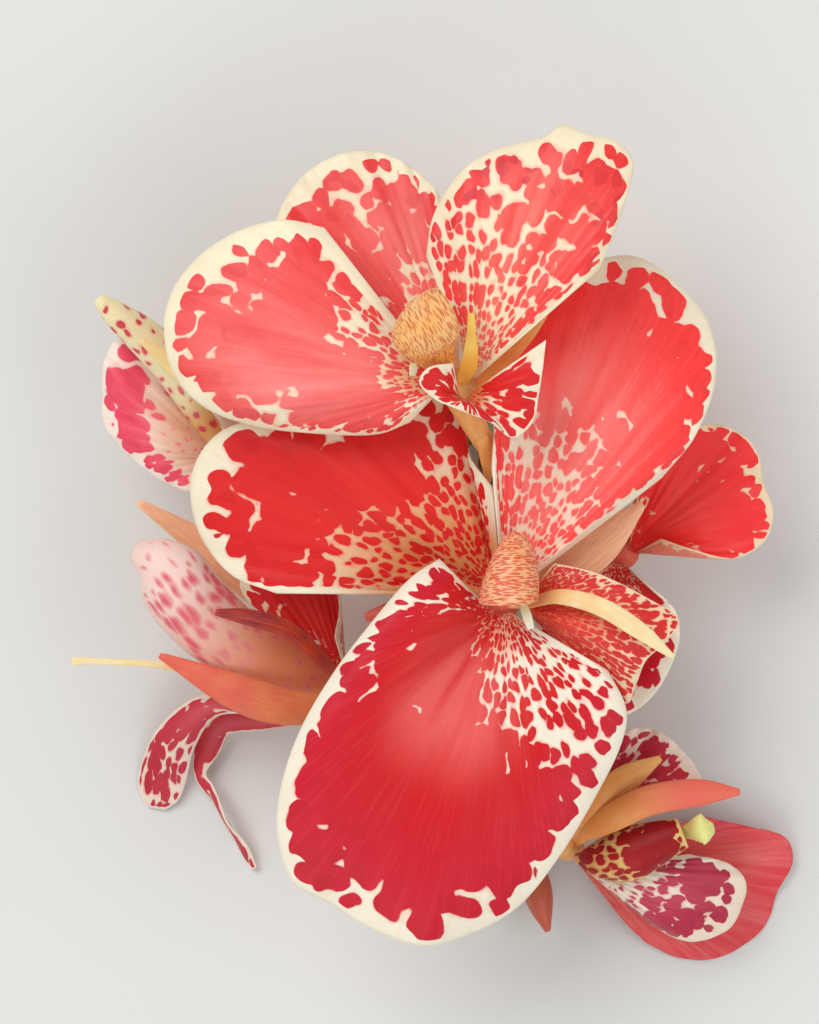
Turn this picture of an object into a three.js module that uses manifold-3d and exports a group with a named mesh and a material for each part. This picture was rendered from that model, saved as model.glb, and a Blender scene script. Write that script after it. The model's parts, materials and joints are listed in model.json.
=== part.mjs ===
// Flower head of a garden canna, cut with a short stalk and laid on its back on a surface.
// Millimetres. +Z is up, the way the two open flowers face; +Y runs along the stalk to its tip.
// The origin is on the flat underside of the stalk.

import * as THREE from "three";
import { mergeVertices } from "three/addons/utils/BufferGeometryUtils.js";
import Module from "manifold-3d";

const wasm = await Module();
wasm.setup();

// -------------------------------- driving dimensions
const PETAL_THICKNESS = 0.8; // broad staminodes, the showy "petals"
const STRAP_THICKNESS = 1.0; // styles, true petals and sepals
const STALK_SIDES = 12; // one facet of the stalk lies flat on the surface
const STALK_STEPS = 6;
const TUBE_SIDES = 7; // corolla tubes and ovaries
const TUBE_STEPS = 7;
const OVARY_STEPS = 6;
const BUD_SIDES = 8;
const BUD_STEPS = 8;
const REST_X = 19; // the stalk's place across the head
const REST_Y = -60; // the middle of the stalk's straight resting length
const SWELL_POWER = 0.75; // under 1 puts a petal's crown nearer its claw
const WAVE_POWER = 3; // how quickly a petal's waves grow towards its rim
const MARGIN_START = 0.8; // where a petal's margin begins to turn back, as a share of its reach
const SPLINE_STEPS = 16; // steps per span when a curve is measured
const MERGE_DISTANCE = 1e-4; // corners closer than this are one
const STEEP = 0.1; // a round body this near to upright has its first side along X
const FLAT_BEND = 1e-3; // radians, below which a strap's section is straight
const SEAT_GAP = 0.4; // between an ovary and its corolla tube
const TUBE_RADIUS = 2.1;
const TUBE_NECK = 4; // straight length at the foot of a corolla tube
const SEPAL_THICKNESS = 0.9;
const OVARY_LENGTH = 11.6;
const OVARY_PROFILE = [
  [0, 1.7],
  [2.2, 2.2],
  [4.2, 4.2],
  [7, 5],
  [9.8, 4.2],
  [OVARY_LENGTH, 2.6],
]; // distance up the axis, radius
const SEPAL_SPINE = [
  [9.6, 3.2, 1.6, 50],
  [13.4, 4, 2.1, 60],
  [17.6, 4.1, 0.4, 20],
]; // distance up the axis, distance from it, half width, curl

// Colours of the living plant
const SCARLET = 0xe8404a;
const CRIMSON = 0xb01f2c;
const BLUSH = 0xe9b3a4;
const CREAM = 0xf2e2bd;
const APRICOT = 0xf0a24c;
const SALMON = 0xdd6f58;
const LEAF_GREEN = 0x6d8a3f;
const OVARY_RED = 0x8d4a3c;
const FLESH_ROUGHNESS = 0.5;

// -------------------------------- curves

const mix = (a, b, t) => a + (b - a) * t;
const blend = (a, b, t) => a.map((value, k) => mix(value, b[k], t));
const point = (row) => new THREE.Vector3(row[0], row[1], row[2]);

// A row on the Catmull-Rom spline through the rows, in the given span.
function splineRow(rows, span, t) {
  const p1 = rows[span];
  const p2 = rows[span + 1];
  const p0 = rows[span - 1] ?? p1.map((value, k) => 2 * value - p2[k]);
  const p3 = rows[span + 2] ?? p2.map((value, k) => 2 * value - p1[k]);
  return p1.map((value, k) => {
    const slope = p2[k] - p0[k];
    const bend = 2 * p0[k] - 5 * value + 4 * p2[k] - p3[k];
    const twist = 3 * value - p0[k] - 3 * p2[k] + p3[k];
    return value + 0.5 * t * (slope + t * (bend + t * twist));
  });
}

// Rows spaced evenly along the smooth curve through some rows. A row's first three numbers are a point.
function smooth(rows, count) {
  const fine = [rows[0]];
  for (let span = 0; span < rows.length - 1; span++) {
    for (let k = 1; k <= SPLINE_STEPS; k++) fine.push(splineRow(rows, span, k / SPLINE_STEPS));
  }
  const along = [0];
  for (let k = 1; k < fine.length; k++) {
    const step = point(fine[k]).distanceTo(point(fine[k - 1]));
    along.push(along[k - 1] + step);
  }
  const length = along[along.length - 1];
  const even = [];
  let k = 1;
  for (let i = 0; i <= count; i++) {
    const at = (length * i) / count;
    while (k < fine.length - 1 && along[k] < at) k++;
    const t = Math.min(1, (at - along[k - 1]) / (along[k] - along[k - 1]));
    even.push(blend(fine[k - 1], fine[k], t));
  }
  return even;
}

// The direction of a path at its row k, from the rows on either side.
function aheadAt(path, k) {
  const [before, after] = [path[Math.max(k - 1, 0)], path[Math.min(k + 1, path.length - 1)]];
  return point(after).sub(point(before)).normalize();
}

// -------------------------------- closed bodies

function geometryOf(points, triangles) {
  const geometry = new THREE.BufferGeometry();
  const numbers = points.flatMap((place) => place.toArray());
  geometry.setAttribute("position", new THREE.Float32BufferAttribute(numbers, 3));
  geometry.setIndex(triangles);
  return geometry;
}

function manifoldOf(geometry) {
  const bare = geometry.clone();
  bare.deleteAttribute("normal");
  bare.deleteAttribute("uv");
  const merged = mergeVertices(bare, MERGE_DISTANCE);
  return new wasm.Manifold(
    new wasm.Mesh({
      numProp: 3,
      vertProperties: merged.attributes.position.array,
      triVerts: new Uint32Array(merged.index.array),
    }),
  );
}

function fuse(...geometries) {
  const joined = geometries.map(manifoldOf).reduce((all, next) => all.add(next));
  const mesh = joined.getMesh();
  const geometry = new THREE.BufferGeometry();
  geometry.setAttribute("position", new THREE.BufferAttribute(mesh.vertProperties, 3));
  geometry.setIndex(new THREE.BufferAttribute(mesh.triVerts, 1));
  return geometry;
}

// A thin body of even thickness round a grid of points, grid[i][j], both faces split alike.
function sheetBody(grid, thickness) {
  const rows = grid.length;
  const columns = grid[0].length;
  const points = [];
  for (const side of [0.5, -0.5]) {
    for (let i = 0; i < rows; i++) {
      for (let j = 0; j < columns; j++) {
        const [before, after] = [grid[Math.max(i - 1, 0)][j], grid[Math.min(i + 1, rows - 1)][j]];
        const [left, right] = [grid[i][Math.max(j - 1, 0)], grid[i][Math.min(j + 1, columns - 1)]];
        const normal = after.clone().sub(before).cross(right.clone().sub(left)).normalize();
        points.push(grid[i][j].clone().addScaledVector(normal, side * thickness));
      }
    }
  }
  const at = (i, j, face) => face * rows * columns + i * columns + j;
  const triangles = [];
  for (let i = 0; i < rows - 1; i++) {
    for (let j = 0; j < columns - 1; j++) {
      const [a, b, c, d] = [at(i, j, 0), at(i + 1, j, 0), at(i + 1, j + 1, 0), at(i, j + 1, 0)];
      triangles.push(a, b, c, a, c, d);
      const [e, f, g, h] = [at(i, j, 1), at(i + 1, j, 1), at(i + 1, j + 1, 1), at(i, j + 1, 1)];
      triangles.push(e, g, f, e, h, g);
    }
  }
  const border = [];
  for (let i = 0; i < rows - 1; i++) border.push([i, 0]);
  for (let j = 0; j < columns - 1; j++) border.push([rows - 1, j]);
  for (let i = rows - 1; i > 0; i--) border.push([i, columns - 1]);
  for (let j = columns - 1; j > 0; j--) border.push([0, j]);
  border.forEach(([i, j], k) => {
    const [m, n] = border[(k + 1) % border.length];
    const [a, b, c, d] = [at(i, j, 0), at(m, n, 0), at(m, n, 1), at(i, j, 1)];
    triangles.push(a, d, c, a, c, b);
  });
  return geometryOf(points, triangles);
}

// A round body along a curve, from rows of x, y, z and radius. Its corners are turned half a side,
// so that a level body has a flat side underneath.
function roundBody(rows, steps, sides) {
  const path = smooth(rows, steps);
  const points = [];
  let across = null;
  path.forEach((row, k) => {
    const ahead = aheadAt(path, k);
    if (!across) across = new THREE.Vector3(0, 0, 1).cross(ahead);
    if (across.length() < STEEP) across = new THREE.Vector3(1, 0, 0);
    across.addScaledVector(ahead, -across.dot(ahead)).normalize();
    const up = ahead.clone().cross(across);
    for (let s = 0; s < sides; s++) {
      const angle = (2 * Math.PI * (s + 0.5)) / sides;
      const [sideways, upwards] = [row[3] * Math.cos(angle), row[3] * Math.sin(angle)];
      points.push(point(row).addScaledVector(across, sideways).addScaledVector(up, upwards));
    }
  });
  const triangles = [];
  for (let k = 0; k < steps; k++) {
    for (let s = 0; s < sides; s++) {
      const next = (s + 1) % sides;
      const [a, b] = [k * sides + s, k * sides + next];
      triangles.push(a, b, b + sides, a, b + sides, a + sides);
    }
  }
  const last = steps * sides;
  for (let s = 1; s < sides - 1; s++) triangles.push(0, s + 1, s, last, last + s, last + s + 1);
  return geometryOf(points, triangles);
}

// -------------------------------- petals

// A broad petal between its narrow claw and its rim. Rim rows are x, y, z and swell, the height
// that the petal domes by on its way from the claw to that point of the rim.
function broadPetal({ claw, rim, across, along, turnBack = 0, waves = 0, waveHeight = 0 }) {
  const inner = smooth(claw, across);
  const outer = smooth(rim, across);
  return inner.map((start, i) => {
    const [x, y, z, swell] = outer[i];
    const wave = waveHeight * Math.sin(2 * Math.PI * waves * (i / across));
    return Array.from({ length: along + 1 }, (_, j) => {
      const v = j / along;
      const dome = swell * Math.sin(Math.PI * v ** SWELL_POWER);
      const turned = turnBack * Math.max(0, (v - MARGIN_START) / (1 - MARGIN_START)) ** 2;
      const height = mix(start[2], z, v) + dome - turned + wave * v ** WAVE_POWER;
      return new THREE.Vector3(mix(start[0], x, v), mix(start[1], y, v), height);
    });
  });
}

// A narrow petal along a spine. Spine rows are x, y, z, half width, curl and twist. Curl is the angle
// that the whole cross-section bends through, edges away from its face, and twist turns the section
// about the spine. Both are in degrees.
function strapPetal({ spine, side, across, along }) {
  const path = smooth(spine, along);
  return path.map((row, k) => {
    const [, , , half, curl, twist] = row;
    const ahead = aheadAt(path, k);
    const width = point(side);
    width.addScaledVector(ahead, -width.dot(ahead)).normalize();
    width.applyAxisAngle(ahead, THREE.MathUtils.degToRad(twist));
    const face = ahead.clone().cross(width);
    const bend = THREE.MathUtils.degToRad(curl);
    return Array.from({ length: across + 1 }, (_, i) => {
      const s = (2 * i) / across - 1;
      const flat = Math.abs(bend) < FLAT_BEND;
      const radius = flat ? 0 : (2 * half) / bend;
      const sideways = flat ? s * half : radius * Math.sin((s * bend) / 2);
      const drop = flat ? 0 : radius * (Math.cos((s * bend) / 2) - 1);
      return point(row).addScaledVector(width, sideways).addScaledVector(face, drop);
    });
  });
}

const broad = (shape) => sheetBody(broadPetal(shape), PETAL_THICKNESS);
const strap = (shape, thickness = STRAP_THICKNESS) => sheetBody(strapPetal(shape), thickness);

// -------------------------------- the head

const head = new THREE.Group();
head.position.set(-REST_X, -REST_Y, 0);

function add(name, geometry, color) {
  const material = new THREE.MeshStandardMaterial({ color, roughness: FLESH_ROUGHNESS, metalness: 0 });
  const mesh = new THREE.Mesh(geometry, material);
  mesh.name = name;
  head.add(mesh);
}

// The stalk lies on its lowest facet, so its centre sinks as it tapers. Rows are x, y and radius.
function stalkBody(rows) {
  const apothem = Math.cos(Math.PI / STALK_SIDES);
  const spine = rows.map(([x, y, radius]) => [x, y, radius * apothem, radius]);
  return roundBody(spine, STALK_STEPS, STALK_SIDES);
}

// A point beside an axis: so far up it from the foot and so far out.
const beside = (foot, axis, up, out, radius = 0) =>
  point(foot).addScaledVector(axis, up).addScaledVector(out, radius).toArray();

// The pedicel and ovary with three sepals spaced round its top, on a straight axis from the stalk.
function ovaryBody({ foot, towards, size = 1, turn = 0 }) {
  const axis = point(towards).normalize();
  const none = new THREE.Vector3();
  const rows = OVARY_PROFILE.map(([up, radius]) => {
    return [...beside(foot, axis, up * size, none), radius * size];
  });
  const sepals = [0, 120, 240].map((angle) => {
    const out = new THREE.Vector3(0, 1, 0).cross(axis).cross(axis).normalize();
    out.applyAxisAngle(axis, THREE.MathUtils.degToRad(turn + angle));
    const spine = SEPAL_SPINE.map(([up, radius, half, curl]) => {
      return [...beside(foot, axis, up * size, out, radius * size), half * size, curl, 0];
    });
    const side = out.clone().cross(axis).toArray();
    return strap({ spine, side, across: 2, along: 3 }, SEPAL_THICKNESS);
  });
  return fuse(roundBody(rows, OVARY_STEPS, TUBE_SIDES), ...sepals);
}

// The first rows of the corolla tube that follows an ovary on its axis.
function tubeStart({ foot, towards, size = 1 }) {
  const axis = point(towards).normalize();
  const none = new THREE.Vector3();
  const above = OVARY_LENGTH * size + SEAT_GAP;
  return [
    [...beside(foot, axis, above, none), TUBE_RADIUS * size],
    [...beside(foot, axis, above + TUBE_NECK * size, none), TUBE_RADIUS * size],
  ];
}

// A corolla tube and its true petals in one body.
function tubeBody(base, rows, petals) {
  const tube = roundBody([...tubeStart(base), ...rows], TUBE_STEPS, TUBE_SIDES);
  return fuse(tube, ...petals.map((petal) => strap({ across: 3, along: 6, ...petal })));
}

// -------------------------------- stalk, bracts and buds

const stalk = stalkBody([
  [18.6, -81, 4.6],
  [19, -60, 4.6],
  [19.2, -34, 4.2],
  [18.8, -6, 3.6],
  [19.2, 20, 3],
  [18.8, 46, 2],
]);

const bracts = [
  {
    spine: [
      [19.4, -41, 5.5, 2.5, 80, 0],
      [19.6, -37, 9.6, 3.2, 90, 0],
      [20, -33, 13, 1, 30, 0],
    ],
    side: [1, 0, 0],
  },
  {
    spine: [
      [19.6, -7, 4.5, 2.3, 80, 0],
      [19.8, -2.6, 8.4, 2.8, 90, 0],
      [20.2, 1.6, 11.6, 0.9, 30, 0],
    ],
    side: [1, 0, 0],
  },
  {
    spine: [
      [21, -51, 4.5, 2.5, 80, 0],
      [26, -49, 4.4, 3.6, 90, 0],
      [33, -46.6, 4.6, 1, 30, 0],
    ],
    side: [0.3, -1, 0.3],
  },
  {
    spine: [
      [17, -44, 4.5, 2.5, 80, 0],
      [11.6, -43.6, 4, 3.4, 90, 0],
      [4, -42.6, 4, 1, 30, 0],
    ],
    side: [0, -1, -0.3],
  },
];
const bract = (shape) => strap({ ...shape, across: 3, along: 4 }, SEPAL_THICKNESS);

add("stalk_and_bracts", fuse(stalk, ...bracts.map(bract)), LEAF_GREEN);

const buds = {
  bud_tip: [
    [18.9, 46.6, 3.6, 1.4],
    [19.6, 52, 5.6, 3.4],
    [20.6, 58, 7.6, 3.9],
    [21.6, 66, 10.2, 0.7],
  ],
  bud_upper: [
    [16, 41.2, 3.6, 1.2],
    [12, 45, 7, 2.9],
    [8.6, 49.5, 8.6, 3.2],
    [5, 56, 10, 0.7],
  ],
  bud_lower: [
    [24.9, -72, 5.4, 1.2],
    [26, -76, 6.6, 2.9],
    [27.4, -82, 8, 3.1],
    [29.2, -88.5, 9.6, 0.7],
  ],
};
for (const [name, rows] of Object.entries(buds)) {
  add(name, roundBody(rows, BUD_STEPS, BUD_SIDES), SALMON);
}

// -------------------------------- front flower, open towards the viewer

const frontBase = { foot: [19, -26, 8.5], towards: [0, 0.1, 1] };
add("front_ovary", ovaryBody(frontBase), OVARY_RED);

add(
  "front_tube_and_petals",
  tubeBody(
    frontBase,
    [
      [19.2, -23.4, 29, 2.1],
      [19.2, -19.4, 36, 2.9],
      [19.2, -17.6, 42, 4],
    ],
    [
      {
        spine: [
          [21, -17.6, 37, 1.6, 60, 0],
          [29.4, -13.6, 41.4, 3.6, 50, 0],
          [38.4, -7, 43.6, 4.2, 40, 0],
          [47.4, 1.6, 44.6, 0.8, 20, 0],
        ],
        side: [-0.6, 0.8, 0],
      },
      {
        spine: [
          [17, -18.6, 37, 1.6, 60, 0],
          [9, -19, 40.4, 3.2, 50, 0],
          [1, -19.6, 41.4, 3.2, 40, 0],
          [-9, -21.4, 41, 0.8, 20, 0],
        ],
        side: [0, -1, 0],
      },
      {
        spine: [
          [19, -20.6, 36.6, 1.6, 60, 0],
          [17, -31, 40.6, 4, 50, 0],
          [14.6, -43, 42, 4.4, 40, 0],
          [12, -58, 42, 0.8, 20, 0],
        ],
        side: [1, 0.1, 0],
      },
    ],
  ),
  SALMON,
);

add(
  "front_staminode_right",
  broad({
    claw: [
      [22.6, -14.8, 43.4],
      [18.8, -13.2, 44.8],
    ],
    rim: [
      [51, 7, 51, 3],
      [58, 16, 52, 6],
      [62, 27, 50, 7],
      [61, 38, 48, 7],
      [55, 46, 47, 6],
      [47, 51.5, 47, 5],
      [39.5, 51.5, 48, 4],
      [31, 47.5, 49, 3],
      [23.5, 38, 50.5, 3],
      [18, 24.5, 53, 2],
      [16.6, 8.6, 54.4, 1],
    ],
    across: 18,
    along: 5,
    turnBack: 1.5,
    waves: 2.5,
    waveHeight: 0.8,
  }),
  SCARLET,
);

add(
  "front_staminode_left",
  broad({
    claw: [
      [18.4, -13.9, 42.4],
      [15.6, -17, 42.8],
    ],
    rim: [
      [16.8, 5, 50.6, 1],
      [12.4, 11, 48, 1],
      [10.8, 17, 45.6, 1],
      [9, 23, 46, 1],
      [3, 26, 48.6, 3],
      [-5, 25, 49.6, 4],
      [-16, 22.6, 50, 5],
      [-28, 19.4, 49, 6],
      [-38, 16.5, 47, 5],
      [-43.5, 10, 45, 4],
      [-44.5, 2, 44, 4],
      [-42, -6, 44, 4],
      [-36, -13, 45, 3],
      [-27, -16.5, 47, 2],
    ],
    across: 18,
    along: 5,
    turnBack: 1.5,
    waves: 2,
    waveHeight: 0.8,
  }),
  SCARLET,
);

add(
  "front_staminode_lower",
  broad({
    claw: [
      [16, -19.4, 43.6],
      [18.2, -20.9, 43.8],
      [20.8, -20.6, 43.8],
    ],
    rim: [
      [6, -9.5, 56, 4],
      [0, -13.5, 59, 6],
      [-7, -21.5, 60, 8],
      [-15, -32, 59, 9],
      [-22, -44, 58, 9],
      [-26, -56, 56, 9],
      [-26.5, -66, 54, 9],
      [-23.5, -75, 52, 9],
      [-16, -79.5, 50, 9],
      [-9, -84, 48, 9],
      [2, -88, 47, 9],
      [12, -86, 46, 9],
      [22, -80.5, 46, 8],
      [30, -70.5, 47, 7],
      [37, -59, 48, 6],
      [42.5, -48, 50, 5],
      [43.8, -40, 52, 4],
      [40, -32, 53, 3],
    ],
    across: 24,
    along: 7,
    turnBack: 2,
    waves: 4,
    waveHeight: 0.9,
  }),
  SCARLET,
);

add(
  "front_labellum",
  broad({
    claw: [
      [22.8, -19.6, 44],
      [23.6, -17.2, 44],
    ],
    rim: [
      [38.4, -31, 47, 2],
      [43.8, -38.8, 46, 3],
      [46, -34.4, 49, 4],
      [47.6, -30, 52, 5],
      [51.4, -26.4, 53, 5],
      [54.4, -21.8, 51.6, 4],
      [48, -17.4, 51, 3],
      [38.4, -12.6, 50, 2],
      [29.4, -10.4, 48.4, 1],
    ],
    across: 16,
    along: 6,
  }),
  SCARLET,
);

add(
  "front_stamen",
  strap(
    {
      spine: [
        [20.4, -16.6, 43.2, 1, 0, 0],
        [22.4, -14.8, 49.4, 2.4, 20, 0],
        [25.4, -12, 55, 5.8, 30, 12],
        [24.4, -11.2, 59.8, 7.2, 36, 16],
        [20.8, -11, 62, 7.8, 40, 16],
        [17.2, -11.2, 60, 7.6, 36, 16],
        [15.8, -12, 56, 6.8, 30, 14],
        [18.2, -13, 53.4, 5.4, 30, 12],
        [21.4, -14, 54.4, 4.6, 10, 10],
        [21.4, -14.8, 57.4, 4.4, 10, 8],
      ],
      side: [-0.1, -1, 0],
      across: 4,
      along: 20,
    },
    PETAL_THICKNESS,
  ),
  APRICOT,
);

add(
  "front_anther",
  strap({
    spine: [
      [22.8, -18.6, 57.4, 0.7, 0, 0],
      [23.6, -21, 57.4, 0.9, 0, 0],
      [24.4, -23.4, 56.8, 0.6, 0, 0],
    ],
    side: [1, 0.2, 0],
    across: 2,
    along: 4,
  }),
  CREAM,
);

add(
  "front_style",
  strap({
    spine: [
      [20.2, -18.9, 43.2, 0.7, 0, 0],
      [24.4, -18.4, 48.2, 1.1, 0, 0],
      [30, -17, 54.4, 1.5, 20, 0],
      [38, -18.9, 58.6, 1.8, 30, 0],
      [46, -23.7, 59.4, 1.7, 30, 0],
      [53, -29.2, 58, 0.4, 0, 0],
    ],
    side: [0.4, 1, 0],
    across: 3,
    along: 14,
  }),
  CREAM,
);

// -------------------------------- upper flower, open towards the viewer

const upperBase = { foot: [19, 8, 7.2], towards: [-0.04, 0.1, 1] };
add("upper_ovary", ovaryBody(upperBase), OVARY_RED);

add(
  "upper_tube_and_petals",
  tubeBody(
    upperBase,
    [
      [17.4, 10.6, 34, 2],
      [16.4, 12.4, 44, 2.1],
      [14.4, 15.4, 50, 2.3],
      [11.6, 20.4, 53.8, 2.8],
      [9.8, 24, 56.8, 3.4],
      [9.4, 25.2, 59.2, 4],
    ],
    [
      {
        spine: [
          [12.2, 19, 53, 1.3, 50, 0],
          [14.8, 14.4, 52.2, 1.4, 50, 0],
          [15.8, 10.6, 48.6, 1.4, 40, 0],
          [16, 6, 45, 0.5, 20, 0],
        ],
        side: [1, 0.3, 0],
      },
      {
        spine: [
          [9.3, 23.8, 55.3, 1.3, 50, 0],
          [1, 31, 54.6, 3.8, 50, 0],
          [-9, 41, 52, 4.2, 40, 0],
          [-20, 52, 49, 0.8, 20, 0],
        ],
        side: [-0.7, -0.7, 0],
      },
      {
        spine: [
          [10.4, 23.6, 55.9, 1.3, 50, 0],
          [17, 31, 57.4, 3.6, 50, 0],
          [24, 41, 60, 4, 40, 0],
          [32, 53, 60, 0.8, 20, 0],
        ],
        side: [-0.8, 0.6, 0],
      },
    ],
  ),
  APRICOT,
);

add(
  "upper_staminode_left",
  broad({
    claw: [
      [6.4, 26.6, 59],
      [6, 24.2, 60],
    ],
    rim: [
      [-17, 56.5, 66, 3],
      [-25, 58, 66, 4],
      [-34, 56, 65, 6],
      [-42, 51, 64, 7],
      [-47.5, 44, 63, 7],
      [-49, 36, 62, 7],
      [-47, 27.5, 61, 7],
      [-41, 21, 61, 7],
      [-31, 17.3, 61, 6],
      [-19, 15.8, 61, 5],
      [-7, 15.6, 61, 4],
      [0, 18, 61.5, 2],
    ],
    across: 18,
    along: 5,
    turnBack: 1.5,
    waves: 2.5,
    waveHeight: 0.6,
  }),
  SCARLET,
);

add(
  "upper_staminode_back",
  broad({
    claw: [
      [10, 28.7, 57.8],
      [7.8, 28.3, 58],
    ],
    rim: [
      [9, 56, 57, -1],
      [6, 63.5, 56, -1],
      [1, 69, 55, -1],
      [-6, 72.5, 54, -1],
      [-14, 72, 54, -1],
      [-20.5, 68.5, 54, -1],
      [-25, 63, 55, -1],
      [-27.5, 56.5, 56, -1],
    ],
    across: 14,
    along: 6,
    turnBack: 1,
    waves: 2,
    waveHeight: 0.8,
  }),
  SCARLET,
);

add(
  "upper_staminode_right",
  broad({
    claw: [
      [13, 26.6, 60.2],
      [11.8, 28.6, 59.6],
    ],
    rim: [
      [37.5, 48, 69, 3],
      [40.5, 55, 69, 4],
      [43, 62.5, 69, 4],
      [44.4, 69.5, 69, 4],
      [41, 73.6, 68, 4],
      [35, 75, 68, 4],
      [30.5, 76.8, 67.5, 4],
      [26, 74.2, 67, 4],
      [19, 72.7, 66, 4],
      [13, 70, 65, 3],
      [8, 65, 64, 3],
      [4.6, 58.5, 63.5, 2],
      [3.4, 51, 63, 1.5],
    ],
    across: 18,
    along: 5,
    turnBack: 1.5,
    waves: 3,
    waveHeight: 0.6,
  }),
  SCARLET,
);

add(
  "upper_labellum",
  broad({
    claw: [
      [12.8, 24.2, 61.9],
      [11.6, 22.3, 62.3],
      [9.9, 22.7, 62.9],
    ],
    rim: [
      [27, 34, 69, 1],
      [26.3, 28, 68, 1],
      [25.6, 23, 66, 1],
      [24.5, 18, 64, 2],
      [20.6, 14.8, 64, 3],
      [16.2, 17.8, 66.4, 3],
      [10, 20.2, 68.8, 3],
      [5, 22.4, 70, 3],
      [2, 25.6, 71, 3],
      [4, 28.6, 71.5, 3],
      [8.5, 29.4, 70, 2],
    ],
    across: 20,
    along: 5,
  }),
  SCARLET,
);

add(
  "upper_stamen",
  strap(
    {
      spine: [
        [8.2, 26.4, 60.4, 1, 0, 0],
        [7, 28.4, 66, 2.2, 20, 0],
        [5.2, 31, 70.6, 4.4, 40, -8],
        [4.6, 32, 74.4, 6.4, 60, -14],
        [2.8, 35, 77, 7.4, 76, -16],
        [0.6, 38.8, 76.2, 7.4, 76, -16],
        [-0.4, 40.4, 72.6, 6.8, 60, -16],
        [0.4, 39, 69.4, 5.4, 40, -14],
        [2.2, 36, 69, 4.2, 20, -12],
        [3.2, 34.4, 71.2, 3.8, 10, -10],
        [2.4, 35.8, 73.2, 3.4, 10, -8],
      ],
      side: [-0.84, -0.54, 0],
      across: 4,
      along: 20,
    },
    PETAL_THICKNESS,
  ),
  APRICOT,
);

add(
  "upper_anther",
  strap({
    spine: [
      [0.8, 29.5, 69, 0.6, 0, 0],
      [0.8, 28.5, 68.2, 0.8, 0, 0],
      [0.6, 27.1, 67, 0.5, 0, 0],
    ],
    side: [1, 0, 0],
    across: 2,
    along: 4,
  }),
  CREAM,
);

add(
  "upper_style",
  strap({
    spine: [
      [10.6, 25.8, 60.6, 1, 0, 0],
      [11.6, 28.4, 65, 1.7, 0, 0],
      [12.1, 31.8, 69, 1.4, 10, 0],
      [12.2, 35.4, 71, 0.9, 10, 0],
      [12.2, 39.2, 72, 0.6, 0, 0],
    ],
    side: [1, 0, 0],
    across: 2,
    along: 10,
  }),
  APRICOT,
);

// -------------------------------- flower at the upper left, half open

const leftUpperBase = { foot: [15.7, 18, 4.2], towards: [-1, -0.1, 0.35], size: 0.95 };
add("left_upper_ovary", ovaryBody(leftUpperBase), OVARY_RED);

add(
  "left_upper_tube_and_petals",
  tubeBody(
    leftUpperBase,
    [
      [-8, 15.8, 12.6, 2],
      [-18, 15, 16.4, 2.3],
      [-29, 14, 22, 3],
      [-37, 13.4, 27.6, 3.6],
    ],
    [
      {
        spine: [
          [-35.2, 14.8, 28, 1.4, 60, 0],
          [-36.4, 17.6, 34, 1.8, 60, 0],
          [-39, 22, 39.6, 2.2, 60, 0],
          [-46.4, 28.6, 44, 2.3, 50, 0],
          [-54.4, 34.8, 46.6, 0.5, 20, 0],
        ],
        side: [-0.75, -0.6, 0],
      },
      {
        spine: [
          [-36.6, 12.4, 25.2, 1.6, 60, 0],
          [-46, 10.6, 23, 3.2, 50, 0],
          [-53, 12.6, 22, 3.2, 40, 0],
          [-60, 17, 21, 0.8, 20, 0],
        ],
        side: [-0.1, -1, 0],
      },
      {
        spine: [
          [-35.8, 15, 26.6, 1.6, 60, 0],
          [-34.6, 25, 32, 3.4, 50, 0],
          [-33, 36, 35, 3.4, 40, 0],
          [-32, 47, 35, 0.8, 20, 0],
        ],
        side: [-1, 0.1, 0],
      },
    ],
  ),
  APRICOT,
);

add(
  "left_upper_rolled_staminode",
  strap(
    {
      spine: [
        [-39.6, 14.4, 28.4, 2, 120, 0],
        [-45.6, 25, 36, 8, 290, 0],
        [-52, 33.4, 41, 9.6, 300, 0],
        [-58.4, 39, 43.6, 7, 290, 0],
        [-63.4, 43.4, 44.6, 1.8, 200, 0],
      ],
      side: [-0.75, -0.6, 0],
      across: 9,
      along: 8,
    },
    PETAL_THICKNESS,
  ),
  CREAM,
);

add(
  "left_upper_staminode",
  broad({
    claw: [
      [-39.5, 10.6, 26.2],
      [-40.2, 13, 25.4],
    ],
    rim: [
      [-45.5, 4, 31, 1],
      [-51.5, 6.6, 30, 2],
      [-56.5, 10.4, 29, 3],
      [-61, 14.5, 29, 4],
      [-63.5, 19, 29, 4],
      [-63.6, 26, 29.6, 4],
      [-63, 31.5, 30, 2],
      [-60, 35.5, 29.4, 1],
      [-53.5, 30, 25.6, 0],
      [-46.5, 23, 23, -1],
    ],
    across: 14,
    along: 5,
    turnBack: 1,
    waves: 2,
    waveHeight: 0.6,
  }),
  BLUSH,
);

// -------------------------------- flower at the lower left, fading

const leftLowerBase = { foot: [14.4, -30, 4.9], towards: [-1, -0.05, 0.35], size: 0.95 };
add("left_lower_ovary", ovaryBody(leftLowerBase), OVARY_RED);

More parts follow.
